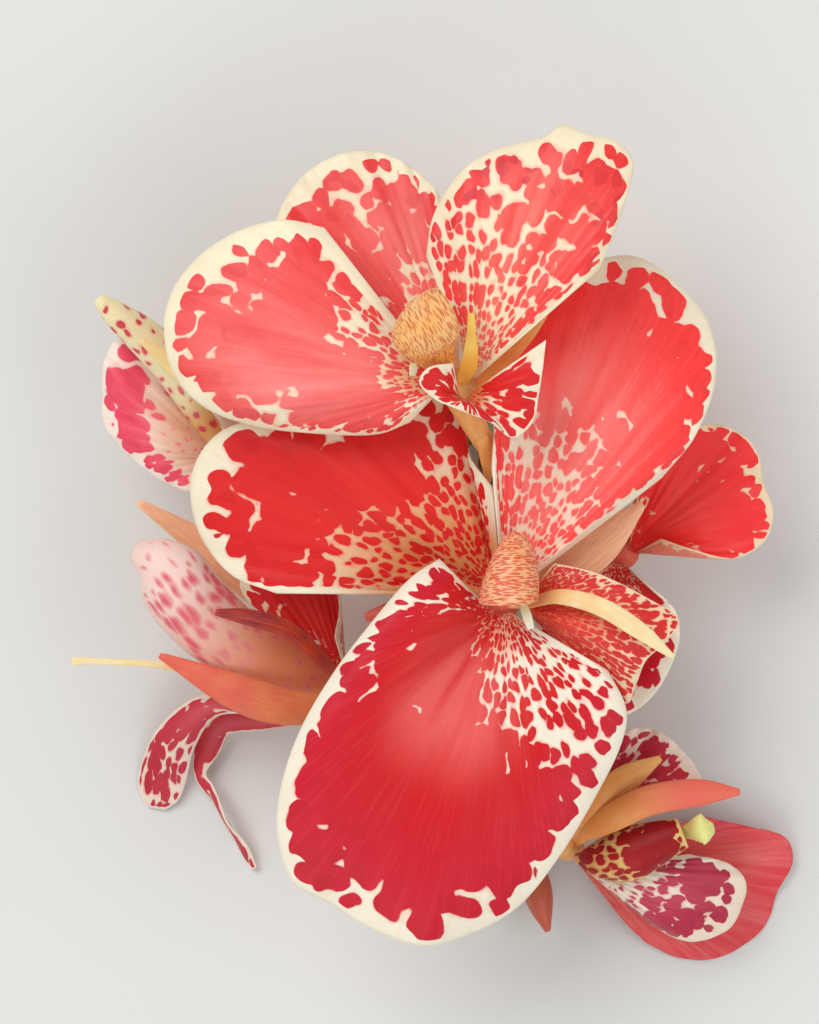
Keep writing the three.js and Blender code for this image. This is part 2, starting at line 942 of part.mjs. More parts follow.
add(
  "left_lower_tube_and_petals",
  tubeBody(
    leftLowerBase,
    [
      [-5.4, -32, 12.4, 2.3],
      [-10, -34.6, 16, 3],
      [-13.6, -37.6, 20, 3.6],
    ],
    [
      {
        spine: [
          [-12.6, -38.6, 19.4, 1.3, 40, 0],
          [-16, -40.2, 26, 2.4, 60, 0],
          [-24, -40.6, 31, 3.8, 70, 0],
          [-35, -37.4, 32.8, 4, 60, 0],
          [-51.5, -29.6, 31.6, 0.6, 20, 0],
        ],
        side: [-0.25, -0.95, 0],
      },
      {
        spine: [
          [-12.6, -35.4, 18.8, 1.8, 60, 0],
          [-25, -22.5, 21, 3.4, 50, 0],
          [-38.5, -10, 24, 3.6, 40, 0],
          [-56, 2, 29, 0.7, 20, 0],
        ],
        side: [-0.65, -0.75, 0],
      },
      {
        spine: [
          [-11.2, -38, 18, 1.6, 60, 0],
          [-10, -49, 20, 3.2, 50, 0],
          [-8, -59, 19, 3.2, 40, 0],
          [-6, -69, 16, 0.7, 20, 0],
        ],
        side: [1, 0.2, 0],
      },
    ],
  ),
  SALMON,
);

add(
  "left_lower_hooded_staminode",
  strap(
    {
      spine: [
        [-16, -37, 21.6, 1.2, 40, 0],
        [-24.5, -33.4, 27.6, 6.4, 110, 0],
        [-35, -28, 32.6, 9, 130, 0],
        [-43, -20.6, 37, 10, 135, 0],
        [-48.6, -13.6, 39.6, 10, 150, 0],
        [-53, -9, 39, 7, 150, 0],
        [-56.6, -7.4, 35.4, 3, 110, 0],
      ],
      side: [-0.6, -0.75, 0],
      across: 8,
      along: 12,
    },
    PETAL_THICKNESS,
  ),
  BLUSH,
);

add(
  "left_lower_staminode_behind",
  broad({
    claw: [
      [-13.2, -34, 21.6],
      [-14.8, -34.2, 21.2],
    ],
    rim: [
      [-15.4, -26, 28.6, 0],
      [-14.4, -18, 29, 0],
      [-16, -11, 29, 0],
      [-22, -7, 29, 1],
      [-30, -8, 29, 1],
      [-35, -14, 29, 1],
      [-33, -20, 26.4, 0],
    ],
    across: 9,
    along: 4,
  }),
  CRIMSON,
);

add(
  "left_lower_stamen",
  strap({
    spine: [
      [-14, -36, 22.4, 0.7, 40, 0],
      [-16.6, -31.8, 33, 1.5, 80, 0],
      [-24.5, -24.4, 39, 2, 110, 0],
      [-32.5, -21.6, 42.8, 1.9, 110, 0],
      [-39.4, -20.4, 44.6, 0.6, 40, 0],
    ],
    side: [-0.3, -0.95, 0],
    across: 4,
    along: 10,
  }),
  OVARY_RED,
);

add(
  "left_lower_style",
  strap(
    {
      spine: [
        [-15.8, -38.6, 20, 0.6, 0, 0],
        [-23, -40, 23, 0.7, 0, 0],
        [-33, -37.8, 24, 0.8, 0, 0],
        [-48.5, -32.4, 24, 0.7, 0, 0],
        [-64, -31, 25, 0.6, 0, 0],
        [-70, -31, 26, 0.9, 0, 0],
      ],
      side: [0, -1, 0],
      across: 2,
      along: 14,
    },
    PETAL_THICKNESS,
  ),
  CREAM,
);

add(
  "left_lower_hanging_staminode",
  strap(
    {
      spine: [
        [-16.1, -40.2, 17.6, 0.9, 20, 0],
        [-31, -40.4, 17.8, 1.8, 30, 0],
        [-42.4, -41, 15, 2.8, 40, 0],
        [-49.4, -48, 9, 4.4, 40, 0],
        [-52.4, -55.4, 3.4, 5.2, 30, 0],
        [-53.4, -60.4, 1.4, 4.4, 10, 0],
        [-53.8, -63.2, 0.8, 1.8, 0, 0],
      ],
      side: [0.8, -0.5, 0],
      across: 5,
      along: 11,
    },
    PETAL_THICKNESS,
  ),
  CRIMSON,
);

add(
  "left_lower_twisted_staminode",
  strap(
    {
      spine: [
        [-13.6, -40.2, 16.2, 0.9, 0, 0],
        [-28, -44, 10.4, 1.8, 30, 0],
        [-39.6, -45, 6.6, 2.8, 60, 0],
        [-43, -50, 4.6, 3, 70, 0],
        [-44.6, -55.6, 3.6, 1.4, 40, 20],
        [-42, -60, 4, 1.6, 40, 60],
        [-39.4, -65.4, 4, 2.2, 60, 80],
        [-36, -70.8, 3, 2, 60, 40],
        [-33, -76, 1.4, 0.6, 20, 0],
      ],
      side: [0.8, -0.5, 0],
      across: 4,
      along: 16,
    },
    PETAL_THICKNESS,
  ),
  CRIMSON,
);

// -------------------------------- flower at the lower right, seen from its side

const rightLowerBase = { foot: [24.2, -60.4, 6.6], towards: [0.5, -0.5, 0.6], size: 0.75 };
add("right_lower_ovary", ovaryBody(rightLowerBase), OVARY_RED);

add(
  "right_lower_tube_and_petals",
  tubeBody(
    rightLowerBase,
    [
      [32.6, -69, 16.6, 2.3],
      [33.6, -70, 19, 3.2],
    ],
    [
      {
        spine: [
          [34.2, -69.2, 18, 1.3, 50, 0],
          [36, -66.8, 24.4, 2, 60, 0],
          [41.6, -63.4, 29, 3, 60, 0],
          [49.5, -59.6, 31, 3.2, 60, 0],
          [60, -58, 30, 2.8, 50, 0],
          [68.4, -58, 28, 0.6, 20, 0],
        ],
        side: [-0.3, 0.95, 0],
      },
      {
        spine: [
          [33.2, -68.6, 18, 1.3, 50, 0],
          [34, -66.6, 23, 2, 60, 0],
          [38, -61.4, 27, 2.8, 60, 0],
          [44.6, -55.6, 27.4, 3, 50, 0],
          [52, -51, 27.4, 0.6, 20, 0],
        ],
        side: [-0.7, 0.7, 0],
      },
      {
        spine: [
          [34, -70.8, 16.2, 1.3, 50, 0],
          [44, -75.6, 14.8, 2.6, 50, 0],
          [54, -79, 12, 2.6, 40, 0],
          [64, -80.6, 9, 0.6, 20, 0],
        ],
        side: [0.3, 0.95, 0],
      },
    ],
  ),
  APRICOT,
);

add(
  "right_lower_staminode_behind",
  broad({
    claw: [
      [36.8, -67.8, 18.7],
      [35.6, -66.4, 18.7],
    ],
    rim: [
      [60.6, -60.4, 22, 0],
      [61, -56.6, 22.6, 0],
      [59.4, -53, 23.4, 0],
      [57, -50, 24, 0],
      [53.6, -46.8, 24, 0],
      [49.4, -45, 24, 0],
      [45, -45.6, 23.4, 0],
      [39.6, -49, 22.4, 0],
      [36.6, -54, 22, 0],
    ],
    across: 12,
    along: 5,
    waves: 3,
    waveHeight: 0.5,
  }),
  BLUSH,
);

add(
  "right_lower_labellum",
  strap(
    {
      spine: [
        [34.6, -72, 21.2, 1.2, 40, 0],
        [38.2, -72.8, 24.6, 5, 130, 0],
        [44.6, -71.4, 27.6, 7.4, 140, 0],
        [51, -68.8, 28.4, 6.4, 160, 0],
        [56.6, -66.6, 28.6, 4.2, 150, 0],
      ],
      side: [-0.25, 0.95, 0],
      across: 8,
      along: 9,
    },
    PETAL_THICKNESS,
  ),
  CRIMSON,
);

add(
  "right_lower_stamen",
  strap({
    spine: [
      [35.4, -71.4, 19.9, 0.6, 0, 0],
      [39, -71.8, 20.6, 0.9, 20, 0],
      [45, -70.8, 23.2, 1.2, 20, 0],
      [52, -68.4, 24.8, 1.3, 20, 0],
      [57, -66.6, 25.6, 1.3, 30, 0],
      [59.4, -65.8, 29.8, 3, 60, 0],
      [61, -65.6, 30.6, 3.2, 60, 0],
      [63, -65.4, 28.8, 1, 40, 0],
    ],
    side: [-0.25, 0.95, 0],
    across: 4,
    along: 12,
  }),
  CREAM,
);

add(
  "right_lower_staminode_pale",
  broad({
    claw: [
      [35.6, -73.8, 17.8],
      [37.2, -73.4, 18],
    ],
    rim: [
      [46, -81, 16, 1],
      [53, -88, 14, 3],
      [60, -90.4, 13, 5],
      [67, -88, 12.6, 5],
      [70, -83, 13, 5],
      [70.6, -77.6, 14.4, 4],
      [66.4, -73.6, 16.4, 2],
      [58.5, -71.8, 18.4, 0],
    ],
    across: 14,
    along: 6,
    turnBack: 1,
  }),
  BLUSH,
);

add(
  "right_lower_staminode_under",
  broad({
    claw: [
      [34.4, -72.4, 14.6],
      [35.8, -71, 14.6],
    ],
    rim: [
      [44.5, -85.6, 6, 0],
      [50.6, -91.6, 3, 0],
      [58, -95, 1, 0],
      [67, -94.6, 0.5, 0],
      [75.4, -88.6, 0.5, 0],
      [78.4, -80.6, 1.6, 0],
      [81.4, -74.6, 2.6, 0],
      [79.6, -69, 5, 0],
      [71, -66.4, 8, 0],
      [62.5, -64.4, 10, 0],
    ],
    across: 14,
    along: 6,
  }),
  SCARLET,
);

// -------------------------------- flower at the right, behind the front one

const rightUpperBase = { foot: [23, -14, 4.6], towards: [1, 0.12, 0.3], size: 0.95 };
add("right_upper_ovary", ovaryBody(rightUpperBase), OVARY_RED);

add(
  "right_upper_tube_and_petals",
  tubeBody(
    rightUpperBase,
    [
      [41.4, -11, 11, 2.2],
      [43.8, -9.4, 14.6, 2.6],
      [44.4, -8.6, 17.6, 3],
      [44.4, -8.4, 20.4, 3.6],
    ],
    [
      {
        spine: [
          [45, -7, 18.4, 1.4, 60, 0],
          [50, 2, 24.2, 3.2, 50, 0],
          [57, 9, 26.4, 3.4, 40, 0],
          [64, 17, 26, 0.6, 20, 0],
        ],
        side: [-0.7, 0.7, 0],
      },
      {
        spine: [
          [44, -10, 18.4, 1.4, 60, 0],
          [45, -20, 22.6, 3, 50, 0],
          [46, -29, 22.6, 3, 40, 0],
          [44, -38, 20.6, 0.6, 20, 0],
        ],
        side: [1, 0.1, 0],
      },
      {
        spine: [
          [43, -7.4, 18.4, 1.4, 60, 0],
          [36, 4, 24.6, 3, 50, 0],
          [32, 14, 26.6, 3, 40, 0],
          [28, 24, 26, 0.6, 20, 0],
        ],
        side: [-0.93, -0.35, 0],
      },
    ],
  ),
  SALMON,
);

add(
  "right_upper_staminode_right",
  broad({
    claw: [
      [47, -8.6, 21.8],
      [46, -6.6, 21.8],
    ],
    rim: [
      [52, -5.6, 29, 0],
      [59, -8, 30, 1],
      [67, -9.6, 30, 1],
      [73.4, -6, 30, 1],
      [75, 0, 30, 2],
      [73, 6, 30.6, 2],
      [72, 12, 31, 2],
      [68, 16.4, 32, 1],
      [61.5, 18, 32.4, 1],
      [54, 15, 32, 0],
      [48, 9, 31, 0],
    ],
    across: 16,
    along: 5,
    waves: 3,
    waveHeight: 0.7,
  }),
  SCARLET,
);

add(
  "right_upper_staminode_lower",
  broad({
    claw: [
      [45, -11.2, 21.4],
      [42.4, -10.8, 21.4],
    ],
    rim: [
      [50, -16, 35, 1],
      [54.6, -20.4, 36, 2],
      [55.4, -26, 36, 3],
      [53.4, -32.6, 35, 4],
      [49.4, -38.6, 34, 4],
      [44, -42, 33, 4],
      [36, -41.6, 32, 4],
      [29, -36.4, 31, 3],
      [26, -28.5, 30, 2],
      [27, -21, 29, 1],
    ],
    across: 16,
    along: 5,
    turnBack: 1,
    waves: 2,
    waveHeight: 0.5,
  }),
  SCARLET,
);

export default head;
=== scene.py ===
"""Looks of a garden canna's flower head, cut with a short stalk and laid on its back.

Blades, tubes, buds and the stalk are grown from the same rows of points as the solid model, on much
finer meshes, and take living-tissue finishes. A row starts with a point in millimetres, in the head's
own coordinates, which HEAD_TO_PART carries to the part's frame.
"""

import json
import logging
import math
from abc import ABC, abstractmethod
from collections.abc import Iterator, Sequence
from dataclasses import dataclass, fields, replace
from enum import Enum
from typing import Any

import bpy
import numpy as np
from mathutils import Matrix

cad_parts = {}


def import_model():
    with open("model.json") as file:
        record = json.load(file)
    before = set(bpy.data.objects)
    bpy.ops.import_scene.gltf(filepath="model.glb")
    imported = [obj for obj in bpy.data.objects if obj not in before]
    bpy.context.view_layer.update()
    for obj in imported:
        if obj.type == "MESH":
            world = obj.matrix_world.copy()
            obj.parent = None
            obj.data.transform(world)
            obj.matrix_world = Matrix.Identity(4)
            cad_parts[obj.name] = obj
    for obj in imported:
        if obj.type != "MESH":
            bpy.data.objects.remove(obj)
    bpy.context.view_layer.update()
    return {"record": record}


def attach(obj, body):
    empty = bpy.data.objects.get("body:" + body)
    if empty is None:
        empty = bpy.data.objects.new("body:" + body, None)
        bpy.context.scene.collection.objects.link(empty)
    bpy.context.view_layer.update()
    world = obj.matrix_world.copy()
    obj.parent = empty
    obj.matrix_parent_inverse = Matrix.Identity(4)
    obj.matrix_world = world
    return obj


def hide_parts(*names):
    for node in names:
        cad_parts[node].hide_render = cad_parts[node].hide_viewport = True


LOG = logging.getLogger("canna")

Row = tuple[float, ...]
Rows = tuple[Row, ...]
Socket = bpy.types.NodeSocket
Tree = bpy.types.NodeTree

MM = 0.001
HEAD_TO_PART = (-19.0, 60.0, 0.0)  # mm, the stalk's resting place is the part's origin
SPLINE_STEPS = 16  # steps from one control row to the next
UPRIGHT = 0.1  # a path whose level part is shorter than this stands up
THINS_WITHIN = 1.2  # mm from its edge within which a sheet thins to its rim
LIP = 0.6  # how far a sheet's border stands out, against half its thickness
NEARLY_FLAT = 1e-3  # radians, the least curl that a strap is bent by
SPINE_NUMBERS = 6  # in a full row of a strap's spine

# the shape of a broad blade, along v from its claw at 0 to its rim at 1
SWELL_POWER = 0.75  # under 1 puts a petal's crown nearer its claw
WAVE_POWER = 3  # how late the waves rise
MARGIN_START = 0.8  # where the margin starts to turn down
FRILLS = ((5.3, 4, 0.8), (12.7, 12, 0.5))  # frills across, how late they rise, share of the ruffle
PUCKERS = (3.1, 2.2, 0.5)  # puckers across and, in half waves, along; share of the ruffle

# the spread of ink along v
FILLS_OVER = 0.42  # reach over which sparse ink turns solid
FADES_FROM = 0.55
FADES_OVER = 0.35
PAINTED_GLOW_RISE = 0.2  # reach over which the painted glow in the middle sets in
PAINTED_GLOW_HOLDS = 0.55  # share of its end up to which it is whole
PAINTED_GLOW_WIDTH = 0.28  # its half width, as a share of the blade
WARM_HOLDS = 0.3  # share of the throat that is all warm
LEAST_WARM = 0.01  # the shortest throat
ACROSS = (0.0, 0.5, 1.0)  # where a marking's three numbers apply

# the lattice of cells, one for each spot: 1.5 to 3 mm wide at the rim of a blade
MARKINGS = "markings"  # the UV map that the spots follow
SEED_SHIFT = 7.3  # cells between one organ's markings and the next one's
STRAP_START = 40.0  # cells between straps' markings and broad blades'
STRAP_END = 0.4  # cells past a strap's tip that may still hold ink
LEAST_RADIUS = 3.0  # mm from a fan's centre to its claw
RIM_RADIUS = 45.0  # mm from a fan's centre at which cells have their stretch of the rim


# ------------------------------------------------------------------ curves


def strides(points: np.ndarray, axis: int = 0) -> np.ndarray:
    """Returns the distance from each point to the next one along an axis."""
    return np.linalg.norm(np.diff(points, axis=axis), axis=-1)


def running(steps: np.ndarray) -> np.ndarray:
    """Returns the total of the steps up to each point, along the last axis and from 0."""
    return np.cumsum(np.insert(steps, 0, 0.0, axis=-1), axis=-1)


def spline(rows: Sequence[Row], count: int) -> np.ndarray:
    """Spaces rows evenly along the Catmull-Rom curve through the given ones.

    Args:
        rows: Control rows; the first three numbers of each are a point.
        count: How many steps the result has.

    Returns:
        An array of count + 1 rows.
    """
    known = np.array(rows, float)
    ends = np.vstack([2 * known[0] - known[1], known, 2 * known[-1] - known[-2]])
    t = (np.arange(1, SPLINE_STEPS + 1) / SPLINE_STEPS)[:, None]
    fine = [known[:1]]
    for p0, p1, p2, p3 in zip(ends, ends[1:], ends[2:], ends[3:]):
        bend = 2 * p0 - 5 * p1 + 4 * p2 - p3
        twist = 3 * p1 - p0 - 3 * p2 + p3
        fine.append(p1 + 0.5 * t * ((p2 - p0) + t * (bend + t * twist)))
    dense = np.vstack(fine)
    along = running(strides(dense[:, :3]))
    wanted = np.linspace(0.0, along[-1], count + 1)
    return np.column_stack([np.interp(wanted, along, column) for column in dense.T])


def unit(vectors: np.ndarray) -> np.ndarray:
    """Returns vectors of length one."""
    return vectors / np.maximum(np.linalg.norm(vectors, axis=-1, keepdims=True), 1e-9)


def smoothstep(value: np.ndarray) -> np.ndarray:
    """Returns the smooth ramp from 0 to 1 of each value."""
    held = np.clip(value, 0.0, 1.0)
    return held * held * (3 - 2 * held)


def ahead(path: np.ndarray) -> np.ndarray:
    """Returns the direction of a path at each of its points."""
    return unit(np.gradient(path[:, :3], axis=0))


def turned(vector: np.ndarray, axis: np.ndarray, degrees: float) -> np.ndarray:
    """Turns a vector about a unit axis.

    Args:
        vector: The vector.
        axis: The axis.
        degrees: The angle of the turn.

    Returns:
        The turned vector.
    """
    angle = math.radians(degrees)
    across = np.cross(axis, vector)
    return (
        vector * math.cos(angle)
        + across * math.sin(angle)
        + axis * np.dot(axis, vector) * (1 - math.cos(angle))
    )


# ------------------------------------------------------------------ meshes


@dataclass
class Shell:
    """One closed surface, and what its finish reads from it.

    Attributes:
        points: Corner points in head millimetres.
        faces: Corner numbers of each face, pointing outwards.
        cells: Marking coordinates for every corner of every face, in order.
        fields: Named numbers for each point.
    """

    points: np.ndarray
    faces: list[tuple[int, ...]]
    cells: np.ndarray
    fields: dict[str, np.ndarray]


SPOT_FIELDS = ("ink", "limit", "clear", "reach", "painted_glow", "warm", "under")  # what a spotted finish reads
FIELD_NAMES = (*SPOT_FIELDS, "warty")  # what every piece's mesh holds


def placed(name: str, data: bpy.types.ID) -> bpy.types.Object:
    """Puts a new object in the scene.

    Args:
        name: Its name.
        data: Its mesh, lamp or camera.

    Returns:
        The object.
    """
    made = bpy.data.objects.new(name, data)
    bpy.context.scene.collection.objects.link(made)
    return made


def piece(name: str, shells: Sequence[Shell], material: bpy.types.Material) -> bpy.types.Object:
    """Makes one object of several closed surfaces, in the part's frame.

    Args:
        name: The object's name.
        shells: The surfaces.
        material: The finish of all of them.

    Returns:
        The object, linked to the scene, with its place in its mesh.
    """
    starts = np.cumsum([0] + [len(shell.points) for shell in shells])
    points = (np.vstack([shell.points for shell in shells]) + HEAD_TO_PART) * MM
    faces = [
        tuple(corner + start for corner in face)
        for shell, start in zip(shells, starts)
        for face in shell.faces
    ]
    mesh = bpy.data.meshes.new(name)
    mesh.from_pydata(points.tolist(), [], faces)
    layer = mesh.uv_layers.new(name=MARKINGS)
    layer.data.foreach_set("uv", np.vstack([shell.cells for shell in shells]).astype(np.float32).ravel())
    for key in FIELD_NAMES:
        values = [shell.fields.get(key, np.zeros(len(shell.points))) for shell in shells]
        attribute = mesh.attributes.new(key, "FLOAT", "POINT")
        attribute.data.foreach_set("value", np.concatenate(values).astype(np.float32))
    mesh.polygons.foreach_set("use_smooth", [True] * len(mesh.polygons))
    mesh.materials.append(material)
    mesh.update()
    return placed(name, mesh)


def sheet_shell(surface: "Surface", thickness: float, rim: float) -> Shell:
    """Gives a sampled surface its two faces and a rounded border.

    Args:
        surface: The middle of the sheet.
        thickness: Its thickness away from the border, in millimetres.
        rim: Its thickness at the border.

    Returns:
        The closed surface.
    """
    middle = surface.points
    rows, columns = middle.shape[:2]
    normal = unit(np.cross(np.gradient(middle, axis=0), np.gradient(middle, axis=1)))
    thin = np.exp(-surface.edge / THINS_WITHIN)
    half = 0.5 * (thickness + (rim - thickness) * thin)[..., None]
    count = rows * columns
    number = np.arange(count).reshape(rows, columns)
    border = np.concatenate([number[:-1, 0], number[-1, :-1], number[:0:-1, -1], number[0, :0:-1]])
    inner = number[np.clip(np.arange(rows), 1, rows - 2)][:, np.clip(np.arange(columns), 1, columns - 2)]
    flat = middle.reshape(-1, 3)
    outward = unit(flat[border] - flat[inner.ravel()[border]])
    lip = flat[border] + outward * LIP * half.reshape(-1, 1)[border]
    faces_apart = [(middle + normal * half).reshape(-1, 3), (middle - normal * half).reshape(-1, 3)]
    points = np.vstack([*faces_apart, lip])
    corner = [number[:-1, :-1], number[1:, :-1], number[1:, 1:], number[:-1, 1:]]
    quads = np.stack([c.ravel() for c in corner], axis=1)
    around = np.arange(len(border))
    after = np.roll(around, -1)
    high = np.stack([border, around + 2 * count, after + 2 * count, border[after]], axis=1)
    low = np.stack([around + 2 * count, border + count, border[after] + count, after + 2 * count], axis=1)
    faces = np.vstack([quads, quads[:, ::-1] + count, high, low])
    origin = np.concatenate([np.arange(count), np.arange(count), border])
    cells = surface.cells.reshape(-1, 2)[origin][faces.ravel()]
    below = float(normal[..., 2].mean() < 0)
    under = np.concatenate([np.full(count, below), np.full(count, 1 - below), np.full(len(border), 0.5)])
    values = {key: value.ravel()[origin] for key, value in surface.numbers().items()}
    return Shell(points, [tuple(f) for f in faces.tolist()], cells, {**values, "under": under})


def round_shell(
    rows: Sequence[Row],
    steps: int,
    sides: int,
    lobes: "Lobes | None" = None,
    dome: float = 0.35,
    cut: bool = False,
) -> Shell:
    """Makes a round body along a curve, with domed ends.

    Args:
        rows: Control rows of x, y, z and radius.
        steps: Rings along it.
        sides: Sides round it.
        lobes: How its section departs from a circle.
        dome: Height of its ends, as a share of their radius.
        cut: Whether its ends are cut and show their pith.

    Returns:
        The closed surface. Its cells are millimetres round it and along it.
    """
    path = spline(rows, steps)
    forward = ahead(path)
    across = np.cross([0.0, 0.0, 1.0], forward[0])
    if np.linalg.norm(across) < UPRIGHT:
        across = np.array([1.0, 0.0, 0.0])
    angle = 2 * math.pi * (np.arange(sides) + 0.5) / sides
    along = running(strides(path[:, :3]))
    rings = []
    for k, row in enumerate(path):
        across = unit(across - forward[k] * np.dot(across, forward[k]))
        up = np.cross(forward[k], across)
        radius = row[3] * (lobes.factor(angle, k / steps) if lobes else np.ones(sides))
        ring = np.outer(radius * np.cos(angle), across) + np.outer(radius * np.sin(angle), up)
        rings.append(row[:3] + ring)
    poles = [path[0, :3] - forward[0] * dome * path[0, 3], path[-1, :3] + forward[-1] * dome * path[-1, 3]]
    points = np.vstack([*rings, *poles])
    first, last = len(points) - 2, len(points) - 1
    girth = 2 * math.pi * float(path[:, 3].max())
    faces: list[tuple[int, ...]] = []
    cells: list[tuple[float, float]] = []
    for k in range(steps + 1):
        for s in range(sides):
            after = (s + 1) % sides
            here, there = girth * s / sides, girth * (s + 1) / sides
            if k < steps:
                a, b = k * sides + s, k * sides + after
                faces.append((a, b, b + sides, a + sides))
                cells += [(here, along[k]), (there, along[k]), (there, along[k + 1]), (here, along[k + 1])]
            if k == 0:
                faces.append((first, after, s))
                cells += [(here, along[0]), (there, along[0]), (here, along[0])]
            if k == steps:
                faces.append((last, k * sides + s, k * sides + after))
                cells += [(here, along[-1]), (here, along[-1]), (there, along[-1])]
    reach = np.concatenate([np.repeat(np.arange(steps + 1) / steps, sides), [0.0, 1.0]])
    pith = np.zeros(len(points))
    pith[-2:] = float(cut)
    values = {"reach": reach, "warty": np.ones(len(points)), "ink": pith}
    return Shell(points, faces, np.array(cells), values)


@dataclass(frozen=True)
class Lobes:
    """How a round body's section swells in lobes.

    Attributes:
        count: Lobes round the section.
        depth: Their height, as a share of the radius.
        turn: Turn of the lobes from the foot to the tip, in radians.
    """

    count: int
    depth: float
    turn: float = 0.0

    def factor(self, angle: np.ndarray, reach: float) -> np.ndarray:
        """Returns the radius factor at each angle, so far along the body."""
        return 1 + self.depth * (np.cos(self.count * angle + self.turn * reach) - 1) / 2


# ------------------------------------------------------------------ markings


@dataclass(frozen=True)
class Marking:
    """How spots are laid over a blade, from its claw to its rim.

    Three numbers are for the first side of the rim, its middle and its last side.

    Attributes:
        per_radian: Spots side by side in a radian of a broad blade's fan.
        cell: Width of a spot's cell on a strap, in millimetres.
        stretch: Length of a cell over its width, near the claw and at the rim.
        solid_from: Share of the reach about which the spots begin to run together.
        solid: Ink where they do: 1 covers, 0.6 leaves islands of ground.
        sparse: Ink near the claw.
        margin: Width of the clear margin, in millimetres.
        side: Width of the clear side edges, against an ordinary blade's.
        fade: Share of the ink that is lost towards the rim.
        warm: Share of the reach that takes the throat's ground.
        painted_glow: How far the painted glow in the middle, a paler ink standing for light through the
            blade, stretches: shares of the reach where it begins and ends.
    """

    per_radian: float = 13.0
    cell: float = 3.0
    stretch: tuple[float, float] = (2.3, 1.15)
    solid_from: tuple[float, float, float] = (0.35, 0.25, 0.35)
    solid: float = 0.95
    sparse: float = 0.3
    margin: tuple[float, float, float] = (3.0, 3.0, 3.0)
    side: float = 1.0
    fade: float = 0.0
    warm: float = 0.35
    painted_glow: tuple[float, float] = (0.1, 0.8)

    def ink(self, u: np.ndarray, v: np.ndarray) -> np.ndarray:
        """Spreads the ink: sparse near the claw, solid further out, and faded at the end if need be.

        Args:
            u: Shares across the blade.
            v: Shares along it.

        Returns:
            How much ink each place has.
        """
        middle = np.interp(u, ACROSS, self.solid_from)
        ramp = smoothstep((v - middle) / FILLS_OVER + 0.5)
        full = self.sparse + (self.solid - self.sparse) * ramp
        return full * (1 - self.fade * smoothstep((v - FADES_FROM) / FADES_OVER))

    def painted_glow_at(self, u: np.ndarray, v: np.ndarray) -> np.ndarray:
        """Spreads the painted glow: paler ink in the middle of the blade that stands for light shining
        through it and sheening on it.

        Args:
            u: Shares across the blade.
            v: Shares along it.

        Returns:
            How much painted glow each place has, most in the middle of the blade.
        """
        start, end = self.painted_glow
        whole = PAINTED_GLOW_HOLDS * end
        along = smoothstep((v - start) / PAINTED_GLOW_RISE) * (1 - smoothstep((v - whole) / (end - whole)))
        return np.exp(-(((u - 0.5) / PAINTED_GLOW_WIDTH) ** 2)) * along

    def warm_at(self, v: np.ndarray) -> np.ndarray:
        """Returns how much of the throat's ground shows at each share along."""
        return 1 - smoothstep((v / max(self.warm, LEAST_WARM) - WARM_HOLDS) / (1 - WARM_HOLDS))

    def margin_at(self, u: np.ndarray) -> np.ndarray:
        """Returns the clear margin's width at each share across the blade."""
        return np.interp(u, ACROSS, self.margin)


PLAIN = Marking(cell=1.0, stretch=(1.0, 1.0), sparse=0.0, solid=0.0)  # no spots, cells of a millimetre
PAINTED_LIGHT_TINTED = replace(PLAIN, sparse=1.0, solid=1.0)  # the same, and all of it takes the second tint: on salmon petals a pale peach, partly painted light
TIPPED = replace(PLAIN, solid=1.0, solid_from=(0.55, 0.55, 0.55))  # only its tip does


@dataclass
class Surface:
    """A sampled blade.

    Attributes:
        marking: How it is spotted.
        points: Points across by along, in head millimetres.
        cells: Marking coordinates, one unit for each spot's cell.
        limit: The marking coordinate past which a blade line has no spots.
        edge: Distance to the nearest edge, in millimetres.
        u: Share of the way across.
        v: Share of the way from the claw to the rim.
    """

    marking: Marking
    points: np.ndarray
    cells: np.ndarray
    limit: np.ndarray
    edge: np.ndarray
    u: np.ndarray
    v: np.ndarray

    def numbers(self) -> dict[str, np.ndarray]:
        """Works out the numbers that the blade's finish reads.

        Returns:
            For every point: how full of spots it is, how far spots may reach, its distance to an edge
            against the width of the clear ones, its share of the way, how much painted glow pales the ink,
            and how much of the throat's ground shows.
        """
        given = {
            "ink": self.marking.ink(self.u, self.v),
            "limit": self.limit,
            "clear": self.edge / self.marking.side,
            "reach": self.v,
            "painted_glow": self.marking.painted_glow_at(self.u, self.v),
            "warm": self.marking.warm_at(self.v),
        }
        return {key: np.broadcast_to(value, self.edge.shape) for key, value in given.items()}


# ------------------------------------------------------------------ finishes

MATH = "ShaderNodeMath"
VECTOR = "ShaderNodeVectorMath"
NOISE = "ShaderNodeTexNoise"
VORONOI = "ShaderNodeTexVoronoi"
RAMP = "ShaderNodeMapRange"  # 0 the value, 1 and 2 the range it comes from, 3 and 4 the range it goes to
MIX = "ShaderNodeMix"  # for colours: 0 the share, 6 and 7 the colours
MIXED = 2  # its output for colours
SMOOTH = {"interpolation_type": "SMOOTHSTEP"}
IN_PLANE = {"voronoi_dimensions": "2D"}
HUES = {"data_type": "RGBA"}

# on spotted skin a unit is a cell, 1.5 to 3 mm; the first number is across the cells, the second along
VEIN_GRID = (6.0, 0.3, 1.0)  # veins 0.25 to 0.5 mm apart and three cells long
PAINTED_GLOW_GRID = (0.5, 0.1, 1.0)  # the painted glow in the middle breaks up in streaks two cells wide and ten long
WANDER_SCALE = 0.7
WANDER = 1.1  # cells by which a spot may stray from its own
PATCH_SCALE = 0.24  # patches with more and with less ink, four cells wide
FRAY_SCALE = 2.2  # frays about a millimetre long
CRINKLE_SCALE = 1.3  # crinkles 1.5 to 2 mm wide
SECOND_SCALE = 1.15  # the darker spots are a little smaller than the others
BACK_PALER = 0.35  # how much paler a blade's back is

